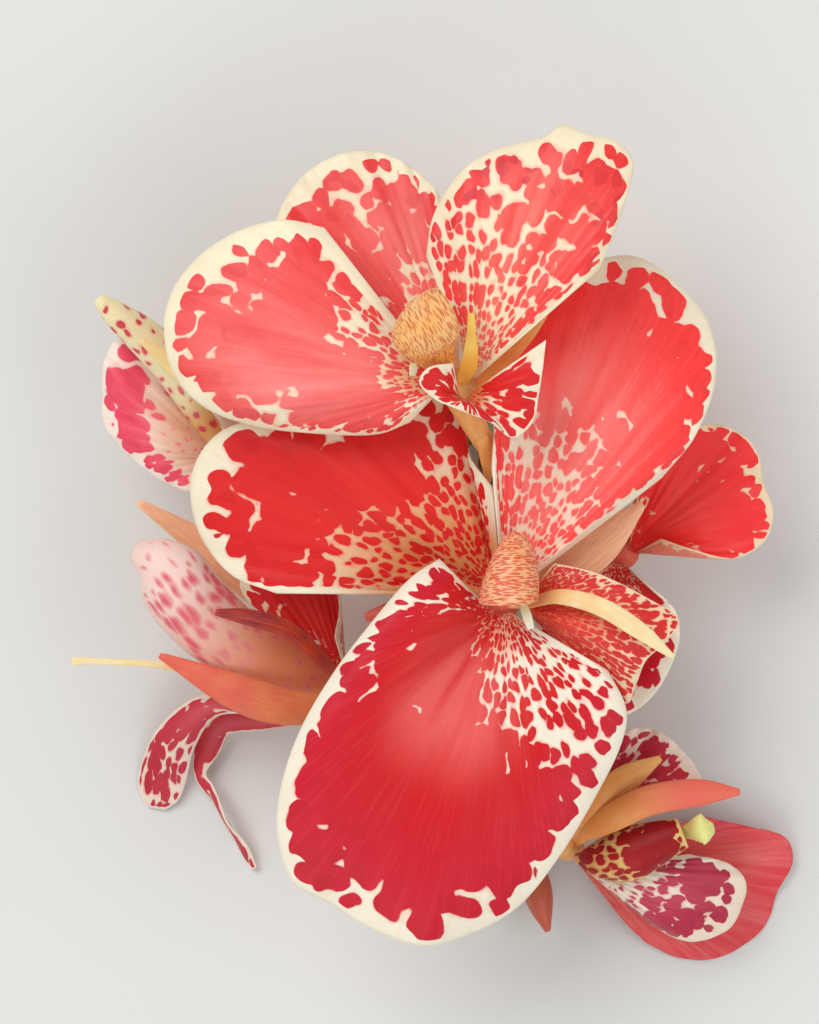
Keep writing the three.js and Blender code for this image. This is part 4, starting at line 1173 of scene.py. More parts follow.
@dataclass(frozen=True)
class BroadBlade(Blade):
    """A fan-shaped staminode between its narrow claw and its rim.

    Attributes:
        claw: Points across its foot.
        outline: Rim rows of x, y, z and swell.
        turn_back: How far the margin turns down, in millimetres.
        waves: Waves round the rim.
        wave_height: Their height.
        ruffle: Height of the fine frills at the rim.
        ribs: Low ribs fanned out from the claw.
        rib_height: Their height.
        across: Mesh steps across it.
        along: Mesh steps along it.
    """

    claw: Rows = ()
    outline: Rows = ()
    turn_back: float = 0.0
    waves: float = 0.0
    wave_height: float = 0.0
    ruffle: float = 0.5
    ribs: int = 15
    rib_height: float = 0.1
    across: int = 110
    along: int = 60

    def surface(self) -> Surface:
        """Samples the middle of the blade along lines from its claw to its rim.

        Returns:
            The surface.
        """
        inner = spline(self.claw, self.across)
        outer = spline(self.outline, self.across)
        u = np.linspace(0.0, 1.0, self.across + 1)[:, None]
        v = np.linspace(0.0, 1.0, self.along + 1)[None, :]
        points = inner[:, None, :3] * (1 - v[..., None]) + outer[:, None, :3] * v[..., None]
        dome = outer[:, None, 3] * np.sin(math.pi * v**SWELL_POWER)
        back = self.turn_back * np.maximum(0, (v - MARGIN_START) / (1 - MARGIN_START)) ** 2
        wave = self.wave_height * np.sin(2 * math.pi * self.waves * u) * v**WAVE_POWER
        points[..., 2] += dome - back + wave + self.frills(u, v)
        return self.marked(points, u, v)

    def frills(self, u: np.ndarray, v: np.ndarray) -> np.ndarray:
        """Raises low ribs along the blade and frills at its rim.

        Args:
            u: Shares across.
            v: Shares along.

        Returns:
            Their height, in millimetres.
        """
        draw = np.random.default_rng(self.seed)
        shift = draw.uniform(0.0, 2 * math.pi, 4)
        ribs = self.rib_height * np.cos(2 * math.pi * self.ribs * u + shift[0]) * np.sin(math.pi * v)
        height = 0 * ribs
        for (waves, late, share), phase in zip(FRILLS, shift[1:]):
            height = height + share * np.sin(2 * math.pi * waves * u + phase) * v**late
        waves, rises, share = PUCKERS
        pucker = np.sin(2 * math.pi * waves * u + shift[3]) * np.sin(math.pi * rises * v) * v
        return ribs + self.ruffle * (height + share * pucker)

    def marked(self, points: np.ndarray, u: np.ndarray, v: np.ndarray) -> Surface:
        """Lays the markings' fan over the sampled points.

        Args:
            points: Points across by along.
            u: Shares across.
            v: Shares along.

        Returns:
            The surface.
        """
        rays = unit(points[:, -1] - points[:, 0])
        turn = np.arccos(np.clip((rays[1:] * rays[:-1]).sum(axis=1), -1.0, 1.0))
        angle = running(turn)[:, None]
        claw_width = strides(points[:, 0]).sum()
        run = running(strides(points, 1))
        radius = max(claw_width / angle[-1, 0], LEAST_RADIUS) + run
        near, far = self.marking.stretch
        stretch = near + (far - near) * smoothstep(radius / RIM_RADIUS)
        density = self.marking.per_radian / (radius * stretch)
        rise = 0.5 * (density[:, 1:] + density[:, :-1]) * np.diff(radius, axis=1)
        height = running(rise)
        around = self.marking.per_radian * angle + 0 * height
        cells = np.stack([around, height + SEED_SHIFT * self.seed], axis=2)
        to_rim = run[:, -1:] - run
        edge = np.minimum(to_rim, np.minimum(angle * radius, (angle[-1] - angle) * radius))
        margin = self.marking.margin_at(u) * density[:, -1:]
        return Surface(self.marking, points, cells, cells[:, -1:, 1] - margin, edge, u, v)


@dataclass(frozen=True)
class StrapBlade(Blade):
    """A narrow organ along a spine.

    Attributes:
        marking: How it is spotted; most straps are plain.
        spine: Rows of x, y, z, half width, curl and twist. These two are in degrees, and 0 if left out.
        side: The direction across it.
        across: Mesh steps across it.
        along: Mesh steps along it.
    """

    marking: Marking = PLAIN
    spine: Rows = ()
    side: Row = (1.0, 0.0, 0.0)
    across: int = 16
    along: int = 56

    def surface(self) -> Surface:
        """Samples the middle of the blade along its spine.

        Returns:
            The surface.
        """
        path = spline([(*row, 0.0, 0.0)[:SPINE_NUMBERS] for row in self.spine], self.along)
        forward = ahead(path)
        s = np.linspace(-1.0, 1.0, self.across + 1)
        lines = []
        for row, direction in zip(path, forward):
            half, curl, twist = row[3:]
            width = np.array(self.side, float)
            width = unit(width - direction * np.dot(width, direction))
            width = turned(width, direction, twist)
            face = np.cross(direction, width)
            bend = max(math.radians(curl), NEARLY_FLAT)
            radius = 2 * half / bend
            sideways = radius * np.sin(s * bend / 2)
            drop = radius * (np.cos(s * bend / 2) - 1)
            lines.append(row[:3] + np.outer(sideways, width) + np.outer(drop, face))
        points = np.stack(lines)
        run = running(strides(path[:, :3]))
        half = path[:, 3:4]
        v = (run / run[-1])[:, None]
        cell = self.marking.cell
        near, far = self.marking.stretch
        height = run[:, None] / (cell * 0.5 * (near + far))
        columns = s[None, :] * half / cell + STRAP_START
        cells = np.stack([columns, height + SEED_SHIFT * self.seed + 0 * columns], axis=2)
        edge = np.minimum((1 - np.abs(s))[None, :] * half, run[-1] - run[:, None])
        limit = np.array(cells[..., 1].max() + STRAP_END)
        return Surface(self.marking, points, cells, limit, edge, (s[None, :] + 1) / 2, v)


# ------------------------------------------------------------------ flowers

# in millimetres; a row of the profile is height and radius, and of the spine height, distance out,
# half width and curl
OVARY_LENGTH = 11.6
OVARY_PROFILE = ((0, 1.7), (2.2, 2.2), (4.2, 4.2), (7, 5), (9.8, 4.2), (OVARY_LENGTH, 2.6))
SEPAL_SPINE = ((9.6, 3.2, 1.6, 50), (13.4, 4, 2.1, 60), (17.6, 4.1, 0.4, 20))
SEAT_GAP = 0.4  # between the ovary's top and the tube's foot
TUBE_RADIUS = 2.1
TUBE_NECK = 4  # from its foot to the end of its neck
TUBE_MESH = (40, 26)  # rings along it and sides round it, as for the next ones
OVARY_MESH = (22, 30)
SEPAL_MESH = {"across": 10, "along": 18}
OVARY_LOBES = Lobes(3, 0.12)
STALK_MESH = (60, 32)
BUD_MESH = (30, 30)
BUD_LOBES = Lobes(3, 0.16, 1.6)
CUT_END = 0.04  # the stalk's ends are cut nearly flat
PETAL_THICKNESS = 0.8
PETAL_RIM = 0.35


@dataclass(frozen=True)
class Base:
    """Where a flower leaves the stalk.

    Attributes:
        foot: Its pedicel's foot.
        towards: The direction of its ovary.
        size: Size of the ovary against a full-grown one.
    """

    foot: Row
    towards: Row
    size: float = 1.0

    @property
    def axis(self) -> np.ndarray:
        """The ovary's unit direction."""
        return unit(np.array(self.towards, float))

    def beside(self, up: float, out: np.ndarray | None = None, radius: float = 0.0) -> np.ndarray:
        """Returns the point so far up the axis and so far out from it."""
        point = np.array(self.foot, float) + self.axis * up * self.size
        return point if out is None else point + out * radius * self.size

    def ovary(self) -> list[Shell]:
        """Grows the ovary with its three sepals.

        Returns:
            Their closed surfaces.
        """
        rows = [(*self.beside(up), radius * self.size) for up, radius in OVARY_PROFILE]
        shells = [round_shell(rows, *OVARY_MESH, OVARY_LOBES)]
        start = unit(np.cross(np.cross([0.0, 1.0, 0.0], self.axis), self.axis))
        for angle in (0, 120, 240):
            out = turned(start, self.axis, angle)
            spine = tuple(
                (*self.beside(up, out, radius), half * self.size, curl)
                for up, radius, half, curl in SEPAL_SPINE
            )
            side = tuple(np.cross(out, self.axis))
            shells.append(replace(petal(side, *spine), **SEPAL_MESH).shell())
        return shells

    def tube_start(self) -> list[Row]:
        """Returns the first rows of the corolla tube."""
        above = OVARY_LENGTH + SEAT_GAP / self.size
        return [(*self.beside(up), TUBE_RADIUS * self.size) for up in (above, above + TUBE_NECK)]


@dataclass(frozen=True)
class Warts:
    """Soft tubercles that cover an ovary.

    Attributes:
        spacing: Least distance between two, in millimetres.
        radius: Their radius.
        density: How many are tried on a square metre, more than the spacing lets stand.
        sizes: The smallest and the largest, against the radius.
        seed: Picks their places.
    """

    spacing: float = 0.55
    radius: float = 0.2
    density: float = 3.0e6
    sizes: tuple[float, float] = (0.6, 1.25)
    seed: int = 4

    def tree(self) -> tuple[Tree, dict[str, str]]:
        """Builds the tubercles' tree.

        Returns:
            The tree, and the identifier of each of its named inputs.
        """
        tree = bpy.data.node_groups.new("tubercles", "GeometryNodeTree")
        tree.interface.new_socket("Geometry", in_out="INPUT", socket_type="NodeSocketGeometry")
        tree.interface.new_socket("Geometry", in_out="OUTPUT", socket_type="NodeSocketGeometry")
        kinds = {
            "Spacing": "NodeSocketFloat",
            "Radius": "NodeSocketFloat",
            "Seed": "NodeSocketInt",
            "Skin": "NodeSocketMaterial",
        }
        made = {
            key: tree.interface.new_socket(key, in_out="INPUT", socket_type=kind).identifier
            for key, kind in kinds.items()
        }
        given = add(tree, "NodeGroupInput").outputs
        warty = add(tree, "GeometryNodeInputNamedAttribute", {"Name": "warty"}, data_type="FLOAT")
        scatter = add(
            tree,
            "GeometryNodeDistributePointsOnFaces",
            {
                "Mesh": given["Geometry"],
                "Distance Min": given["Spacing"],
                "Density Max": self.density,
                "Density Factor": warty.outputs[0],
                "Seed": given["Seed"],
            },
            distribute_method="POISSON",
        )
        bead = add(tree, "GeometryNodeMeshIcoSphere", {"Radius": given["Radius"], "Subdivisions": 2})
        smallest, largest = self.sizes
        size = add(tree, "FunctionNodeRandomValue", {2: smallest, 3: largest}, data_type="FLOAT")
        spread = add(
            tree,
            "GeometryNodeInstanceOnPoints",
            {
                "Points": scatter.outputs["Points"],
                "Instance": bead.outputs[0],
                "Rotation": scatter.outputs["Rotation"],
                "Scale": size.outputs[1],
            },
        )
        solid = add(tree, "GeometryNodeRealizeInstances", {0: spread.outputs[0]})
        soft = add(tree, "GeometryNodeSetShadeSmooth", {0: solid.outputs[0]})
        skin = add(tree, "GeometryNodeSetMaterial", {0: soft.outputs[0], "Material": given["Skin"]})
        both = add(tree, "GeometryNodeJoinGeometry")
        tree.links.new(skin.outputs[0], both.inputs[0])
        tree.links.new(given["Geometry"], both.inputs[0])
        add(tree, "NodeGroupOutput", {0: both.outputs[0]})
        return tree, made

    def cover(self, host: bpy.types.Object) -> None:
        """Grows the tubercles on an object, and leaves it a plain mesh.

        Args:
            host: The ovary's object.
        """
        tree, sockets = self.tree()
        grown = host.modifiers.new("tubercles", "NODES")
        grown.node_group = tree
        grown[sockets["Spacing"]] = self.spacing * MM
        grown[sockets["Radius"]] = self.radius * MM
        grown[sockets["Seed"]] = self.seed
        grown[sockets["Skin"]] = Coat.WART.value.material()
        graph = bpy.context.evaluated_depsgraph_get()
        mesh = bpy.data.meshes.new_from_object(
            host.evaluated_get(graph), preserve_all_data_layers=True, depsgraph=graph
        )
        host.modifiers.clear()
        plain, host.data = host.data, mesh
        bpy.data.meshes.remove(plain)


def grow(
    node: str, shells: Sequence[Shell], coat: Coat, warts: Warts | None = None
) -> None:
    """Makes a finished piece, fixes it to the part and reports it.

    Args:
        node: The solid that it stands for.
        shells: Its closed surfaces.
        coat: Its finish.
        warts: What covers it.
    """
    made = piece(f"{node}_skin", shells, coat.value.material())
    if warts:
        warts.cover(made)
    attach(made, "root")
    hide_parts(node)
    LOG.info("%s stands for %s: %d faces", made.name, node, len(made.data.polygons))


@dataclass(frozen=True)
class Flower:
    """One flower of the head: ovary, corolla tube with its true petals, and inner organs.

    Attributes:
        prefix: The flower's name.
        base: Where it leaves the stalk.
        tube: Rows of x, y, z and radius that follow the tube's foot.
        petals: The true petals, one body with the tube.
        petal_coat: The finish of the tube and its petals.
    """

    prefix: str
    base: Base
    tube: Rows
    petals: tuple[StrapBlade, ...]
    petal_coat: Coat

    def organs(self) -> Iterator[tuple[str, Blade]]:
        """Finds the flower's inner organs and numbers them, so that no two have the same markings.

        Yields:
            The name and the shape of each, in order.
        """
        blades = {entry.name: getattr(self, entry.name) for entry in fields(self)}
        organs = [(name, blade) for name, blade in blades.items() if isinstance(blade, Blade)]
        for seed, (name, blade) in enumerate(organs, 1):
            yield name, replace(blade, seed=seed)

    def build(self, slots: dict[str, str]) -> None:
        """Builds and dresses every piece of the flower.

        Args:
            slots: Each node's material slot; not used.
        """
        grow(f"{self.prefix}_ovary", self.base.ovary(), Coat.OVARY, Warts())
        rows = [*self.base.tube_start(), *self.tube]
        shells = [round_shell(rows, *TUBE_MESH), *(blade.shell() for blade in self.petals)]
        grow(f"{self.prefix}_tube_and_petals", shells, self.petal_coat)
        for name, organ in self.organs():
            grow(f"{self.prefix}_{name}", [organ.shell()], organ.coat)


def petal(side: Row, *spine: Row, marking: Marking = PLAIN) -> StrapBlade:
    """Returns a true petal or a bract along a spine."""
    return StrapBlade(spine=spine, side=side, marking=marking, thickness=PETAL_THICKNESS, rim=PETAL_RIM)


@dataclass(frozen=True)
class FrontFlower(Flower):
    """The lower of the two open flowers, facing the viewer."""

    prefix: str = "front"
    base: Base = Base((19, -26, 8.5), (0, 0.1, 1))
    tube: Rows = (
        (19.2, -23.4, 29, 2.1), (19.2, -19.4, 36, 2.9), (19.2, -17.6, 42, 4),
    )
    petals: tuple[StrapBlade, ...] = (
        petal(
            (-0.6, 0.8, 0),
            (21, -17.6, 37, 1.6, 60), (29.4, -13.6, 41.4, 3.6, 50), (38.4, -7, 43.6, 4.2, 40),
            (47.4, 1.6, 44.6, 0.8, 20),
            marking=PAINTED_LIGHT_TINTED,
        ),
        petal(
            (0, -1, 0),
            (17, -18.6, 37, 1.6, 60), (9, -19, 40.4, 3.2, 50), (1, -19.6, 41.4, 3.2, 40),
            (-9, -21.4, 41, 0.8, 20),
        ),
        petal(
            (1, 0.1, 0),
            (19, -20.6, 36.6, 1.6, 60), (17, -31, 40.6, 4, 50), (14.6, -43, 42, 4.4, 40),
            (12, -58, 42, 0.8, 20),
        ),
    )
    petal_coat: Coat = Coat.SALMON_PETAL
    staminode_right: Blade = BroadBlade(
        coat=Coat.BLUSH_PETAL,
        marking=Marking(
            per_radian=14.0, solid_from=(0.4, 0.55, 0.8), sparse=0.42, margin=(0.6, 0.8, 0.4),
            warm=0.8, painted_glow=(-0.1, 0.9),
        ),
        claw=((22.6, -14.8, 43.4), (18.8, -13.2, 44.8)),
        outline=(
            (51, 7, 51, 3), (58, 16, 52, 6), (62, 27, 50, 7), (61, 38, 48, 7), (55, 46, 47, 6),
            (47, 51.5, 47, 5), (39.5, 51.5, 48, 4), (31, 47.5, 49, 3), (23.5, 38, 50.5, 3),
            (18, 24.5, 53, 2), (16.6, 8.6, 54.4, 1),
        ),
        turn_back=1.5,
        waves=2.5,
        wave_height=0.8,
    )
    staminode_left: Blade = BroadBlade(
        coat=Coat.FRONT_PETAL,
        marking=Marking(
            per_radian=12.5, solid_from=(0.95, 0.5, 0.8), sparse=0.42, margin=(1.0, 1.2, 0.8),
            side=1.6, warm=0.84, painted_glow=(0.3, 1.2),
        ),
        claw=((18.4, -13.9, 42.4), (15.6, -17, 42.8)),
        outline=(
            (16.8, 5, 50.6, 1), (12.4, 11, 48, 1), (10.8, 17, 45.6, 1), (9, 23, 46, 1), (3, 26, 48.6, 3),
            (-5, 25, 49.6, 4), (-16, 22.6, 50, 5), (-28, 19.4, 49, 6), (-38, 16.5, 47, 5),
            (-43.5, 10, 45, 4), (-44.5, 2, 44, 4), (-42, -6, 44, 4), (-36, -13, 45, 3),
            (-27, -16.5, 47, 2),
        ),
        turn_back=1.5,
        waves=2,
        wave_height=0.8,
    )
    staminode_lower: Blade = BroadBlade(
        coat=Coat.LOWER_PETAL,
        marking=Marking(
            per_radian=11.0, solid_from=(0.1, 0.1, 1.1), sparse=0.4, margin=(1.2, 0.9, 1.8), warm=0.2,
            painted_glow=(0.0, 0.6),
        ),
        claw=((16, -19.4, 43.6), (18.2, -20.9, 43.8), (20.8, -20.6, 43.8)),
        outline=(
            (6, -9.5, 56, 4), (0, -13.5, 59, 6), (-7, -21.5, 60, 8), (-15, -32, 59, 9), (-22, -44, 58, 9),
            (-26, -56, 56, 9), (-26.5, -66, 54, 9), (-23.5, -75, 52, 9), (-16, -79.5, 50, 9),
            (-9, -84, 48, 9), (2, -88, 47, 9), (12, -86, 46, 9), (22, -80.5, 46, 8), (30, -70.5, 47, 7),
            (37, -59, 48, 6), (42.5, -48, 50, 5), (43.8, -40, 52, 4), (40, -32, 53, 3),
        ),
        turn_back=2,
        waves=4,
        wave_height=0.9,
        across=150,
        along=80,
    )
    labellum: Blade = BroadBlade(
        coat=Coat.LABELLUM,
        marking=Marking(
            per_radian=24.0, stretch=(2.6, 1.5), solid_from=(1.2, 1.2, 1.2), sparse=0.5,
            margin=(-0.6, -0.6, -0.6), side=0.3, warm=1.0,
        ),
        claw=((22.8, -19.6, 44), (23.6, -17.2, 44)),
        outline=(
            (38.4, -31, 47, 2), (43.8, -38.8, 46, 3), (46, -34.4, 49, 4), (47.6, -30, 52, 5),
            (51.4, -26.4, 53, 5), (54.4, -21.8, 51.6, 4), (48, -17.4, 51, 3), (38.4, -12.6, 50, 2),
            (29.4, -10.4, 48.4, 1),
        ),
    )
    stamen: Blade = StrapBlade(
        coat=Coat.RED_ROLL,
        spine=(
            (20.4, -16.6, 43.2, 1), (22.4, -14.8, 49.4, 2.4, 20), (25.4, -12, 55, 5.8, 30, 12),
            (24.4, -11.2, 59.8, 7.2, 36, 16), (20.8, -11, 62, 7.8, 40, 16),
            (17.2, -11.2, 60, 7.6, 36, 16), (15.8, -12, 56, 6.8, 30, 14), (18.2, -13, 53.4, 5.4, 30, 12),
            (21.4, -14, 54.4, 4.6, 10, 10), (21.4, -14.8, 57.4, 4.4, 10, 8),
        ),
        side=(-0.1, -1, 0),
        across=24,
        along=110,
    )
    anther: Blade = StrapBlade(
        coat=Coat.ANTHER,
        spine=(
            (22.8, -18.6, 57.4, 0.7), (23.6, -21, 57.4, 0.9), (24.4, -23.4, 56.8, 0.6),
        ),
        side=(1, 0.2, 0),
    )
    style: Blade = StrapBlade(
        coat=Coat.STYLE,
        spine=(
            (20.2, -18.9, 43.2, 0.7), (24.4, -18.4, 48.2, 1.1), (30, -17, 54.4, 1.5, 20),
            (38, -18.9, 58.6, 1.8, 30), (46, -23.7, 59.4, 1.7, 30), (53, -29.2, 58, 0.4),
        ),
        side=(0.4, 1, 0),
    )


@dataclass(frozen=True)
class UpperFlower(Flower):
    """The upper of the two open flowers, nearest the viewer."""

    prefix: str = "upper"
    base: Base = Base((19, 8, 7.2), (-0.04, 0.1, 1))
    tube: Rows = (
        (17.4, 10.6, 34, 2), (16.4, 12.4, 44, 2.1), (14.4, 15.4, 50, 2.3), (11.6, 20.4, 53.8, 2.8),
        (9.8, 24, 56.8, 3.4), (9.4, 25.2, 59.2, 4),
    )
    petals: tuple[StrapBlade, ...] = (
        petal(
            (1, 0.3, 0),
            (12.2, 19, 53, 1.3, 50), (14.8, 14.4, 52.2, 1.4, 50), (15.8, 10.6, 48.6, 1.4, 40),
            (16, 6, 45, 0.5, 20),
        ),
        petal(
            (-0.7, -0.7, 0),
            (9.3, 23.8, 55.3, 1.3, 50), (1, 31, 54.6, 3.8, 50), (-9, 41, 52, 4.2, 40),
            (-20, 52, 49, 0.8, 20),
        ),
        petal(
            (-0.8, 0.6, 0),
            (10.4, 23.6, 55.9, 1.3, 50), (17, 31, 57.4, 3.6, 50), (24, 41, 60, 4, 40),
            (32, 53, 60, 0.8, 20),
        ),
    )
    petal_coat: Coat = Coat.ORANGE_PETAL
    staminode_left: Blade = BroadBlade(
        coat=Coat.UPPER_PETAL,
        marking=Marking(
            per_radian=12.0, solid_from=(0.8, 0.15, 0.5), solid=0.88, sparse=0.4,
            margin=(4.6, 0.2, 1.2), side=1.8, warm=0.3, painted_glow=(0.1, 1.15),
        ),
        claw=((6.4, 26.6, 59), (6, 24.2, 60)),
        outline=(
            (-17, 56.5, 66, 3), (-25, 58, 66, 4), (-34, 56, 65, 6), (-42, 51, 64, 7), (-47.5, 44, 63, 7),
            (-49, 36, 62, 7), (-47, 27.5, 61, 7), (-41, 21, 61, 7), (-31, 17.3, 61, 6),
            (-19, 15.8, 61, 5), (-7, 15.6, 61, 4), (0, 18, 61.5, 2),
        ),
        turn_back=1.5,
        waves=2.5,
        wave_height=0.6,
        across=140,
        along=70,
    )
    staminode_back: Blade = BroadBlade(
        coat=Coat.UPPER_PETAL,
        marking=Marking(
            per_radian=12.0, solid_from=(0.8, 0.4, 0.3), solid=0.78, sparse=0.42,
            margin=(0.8, 0.4, 1.6), warm=0.4, painted_glow=(0.15, 1.1),
        ),
        claw=((10, 28.7, 57.8), (7.8, 28.3, 58)),
        outline=(
            (9, 56, 57, -1), (6, 63.5, 56, -1), (1, 69, 55, -1), (-6, 72.5, 54, -1), (-14, 72, 54, -1),
            (-20.5, 68.5, 54, -1), (-25, 63, 55, -1), (-27.5, 56.5, 56, -1),
        ),
        turn_back=1,
        waves=2,
        wave_height=0.8,
    )
    staminode_right: Blade = BroadBlade(
        coat=Coat.ROSE_PETAL,
        marking=Marking(
            per_radian=12.5, solid_from=(0.55, 0.65, 1.2), solid=0.68, sparse=0.43,
            margin=(0.6, 0.9, 0.6), painted_glow=(-0.1, 1.0),
        ),
        claw=((13, 26.6, 60.2), (11.8, 28.6, 59.6)),
        outline=(
            (37.5, 48, 69, 3), (40.5, 55, 69, 4), (43, 62.5, 69, 4), (44.4, 69.5, 69, 4),
            (41, 73.6, 68, 4), (35, 75, 68, 4), (30.5, 76.8, 67.5, 4), (26, 74.2, 67, 4),
            (19, 72.7, 66, 4), (13, 70, 65, 3), (8, 65, 64, 3), (4.6, 58.5, 63.5, 2), (3.4, 51, 63, 1.5),
        ),
        turn_back=1.5,
        waves=3,
        wave_height=0.6,
    )
    labellum: Blade = BroadBlade(
        coat=Coat.FRONT_PETAL,
        marking=Marking(
            per_radian=5.5, stretch=(1.8, 1.2), solid_from=(0.2, 0.2, 0.2), solid=0.62,
            margin=(-1.0, -1.0, -1.0), side=0.3, warm=0.4,
        ),
        claw=((12.8, 24.2, 61.9), (11.6, 22.3, 62.3), (9.9, 22.7, 62.9)),
        outline=(
            (27, 34, 69, 1), (26.3, 28, 68, 1), (25.6, 23, 66, 1), (24.5, 18, 64, 2), (20.6, 14.8, 64, 3),
            (16.2, 17.8, 66.4, 3), (10, 20.2, 68.8, 3), (5, 22.4, 70, 3), (2, 25.6, 71, 3),
            (4, 28.6, 71.5, 3), (8.5, 29.4, 70, 2),
        ),
    )
    stamen: Blade = StrapBlade(
        coat=Coat.ROLL,
        spine=(
            (8.2, 26.4, 60.4, 1), (7, 28.4, 66, 2.2, 20), (5.2, 31, 70.6, 4.4, 40, -8),
            (4.6, 32, 74.4, 6.4, 60, -14), (2.8, 35, 77, 7.4, 76, -16), (0.6, 38.8, 76.2, 7.4, 76, -16),
            (-0.4, 40.4, 72.6, 6.8, 60, -16), (0.4, 39, 69.4, 5.4, 40, -14), (2.2, 36, 69, 4.2, 20, -12),
            (3.2, 34.4, 71.2, 3.8, 10, -10), (2.4, 35.8, 73.2, 3.4, 10, -8),
        ),
        side=(-0.84, -0.54, 0),
        across=24,
        along=110,
    )
    anther: Blade = StrapBlade(
        coat=Coat.ANTHER,
        spine=(
            (0.8, 29.5, 69, 0.6), (0.8, 28.5, 68.2, 0.8), (0.6, 27.1, 67, 0.5),
        ),
        side=(1, 0, 0),
    )
    style: Blade = StrapBlade(
        coat=Coat.YELLOW_STYLE,
        spine=(
            (10.6, 25.8, 60.6, 1), (11.6, 28.4, 65, 1.7), (12.1, 31.8, 69, 1.4, 10),
            (12.2, 35.4, 71, 0.9, 10), (12.2, 39.2, 72, 0.6),
        ),
        side=(1, 0, 0),
    )


@dataclass(frozen=True)
class LeftUpperFlower(Flower):
    """A flower on the upper left that is still furled."""

    prefix: str = "left_upper"
    base: Base = Base((15.7, 18, 4.2), (-1, -0.1, 0.35), 0.95)
    tube: Rows = (
        (-8, 15.8, 12.6, 2), (-18, 15, 16.4, 2.3), (-29, 14, 22, 3), (-37, 13.4, 27.6, 3.6),
    )
    petals: tuple[StrapBlade, ...] = (
        petal(
            (-0.75, -0.6, 0),
            (-35.2, 14.8, 28, 1.4, 60), (-36.4, 17.6, 34, 1.8, 60), (-39, 22, 39.6, 2.2, 60),
            (-46.4, 28.6, 44, 2.3, 50), (-54.4, 34.8, 46.6, 0.5, 20),
        ),
        petal(
            (-0.1, -1, 0),
            (-36.6, 12.4, 25.2, 1.6, 60), (-46, 10.6, 23, 3.2, 50), (-53, 12.6, 22, 3.2, 40),
            (-60, 17, 21, 0.8, 20),
        ),
        petal(
            (-1, 0.1, 0),
            (-35.8, 15, 26.6, 1.6, 60), (-34.6, 25, 32, 3.4, 50), (-33, 36, 35, 3.4, 40),
            (-32, 47, 35, 0.8, 20),
        ),
    )
    petal_coat: Coat = Coat.YELLOW_PETAL
    rolled_staminode: Blade = StrapBlade(
        coat=Coat.CREAM_ROLL,
        marking=Marking(cell=2.7, stretch=(1.6, 1.3), solid_from=(1.6, 1.6, 1.6), sparse=0.19),
        spine=(
            (-39.6, 14.4, 28.4, 2, 120), (-45.6, 25, 36, 8, 290), (-52, 33.4, 41, 9.6, 300),
            (-58.4, 39, 43.6, 7, 290), (-63.4, 43.4, 44.6, 1.8, 200),
        ),
        side=(-0.75, -0.6, 0),
        across=40,
    )
    staminode: Blade = BroadBlade(
        coat=Coat.PINK_PETAL,
        marking=Marking(
            per_radian=7.0, stretch=(1.8, 1.0), solid_from=(0.7, 0.6, 0.7), solid=0.86, sparse=0.06,
            margin=(-0.6, -0.6, -0.6), side=0.8, warm=0.9,
        ),
        claw=((-39.5, 10.6, 26.2), (-40.2, 13, 25.4)),
        outline=(
            (-45.5, 4, 31, 1), (-51.5, 6.6, 30, 2), (-56.5, 10.4, 29, 3), (-61, 14.5, 29, 4),
            (-63.5, 19, 29, 4), (-63.6, 26, 29.6, 4), (-63, 31.5, 30, 2), (-60, 35.5, 29.4, 1),
            (-53.5, 30, 25.6, 0), (-46.5, 23, 23, -1),
        ),
        turn_back=1,
        waves=2,
        wave_height=0.6,
    )


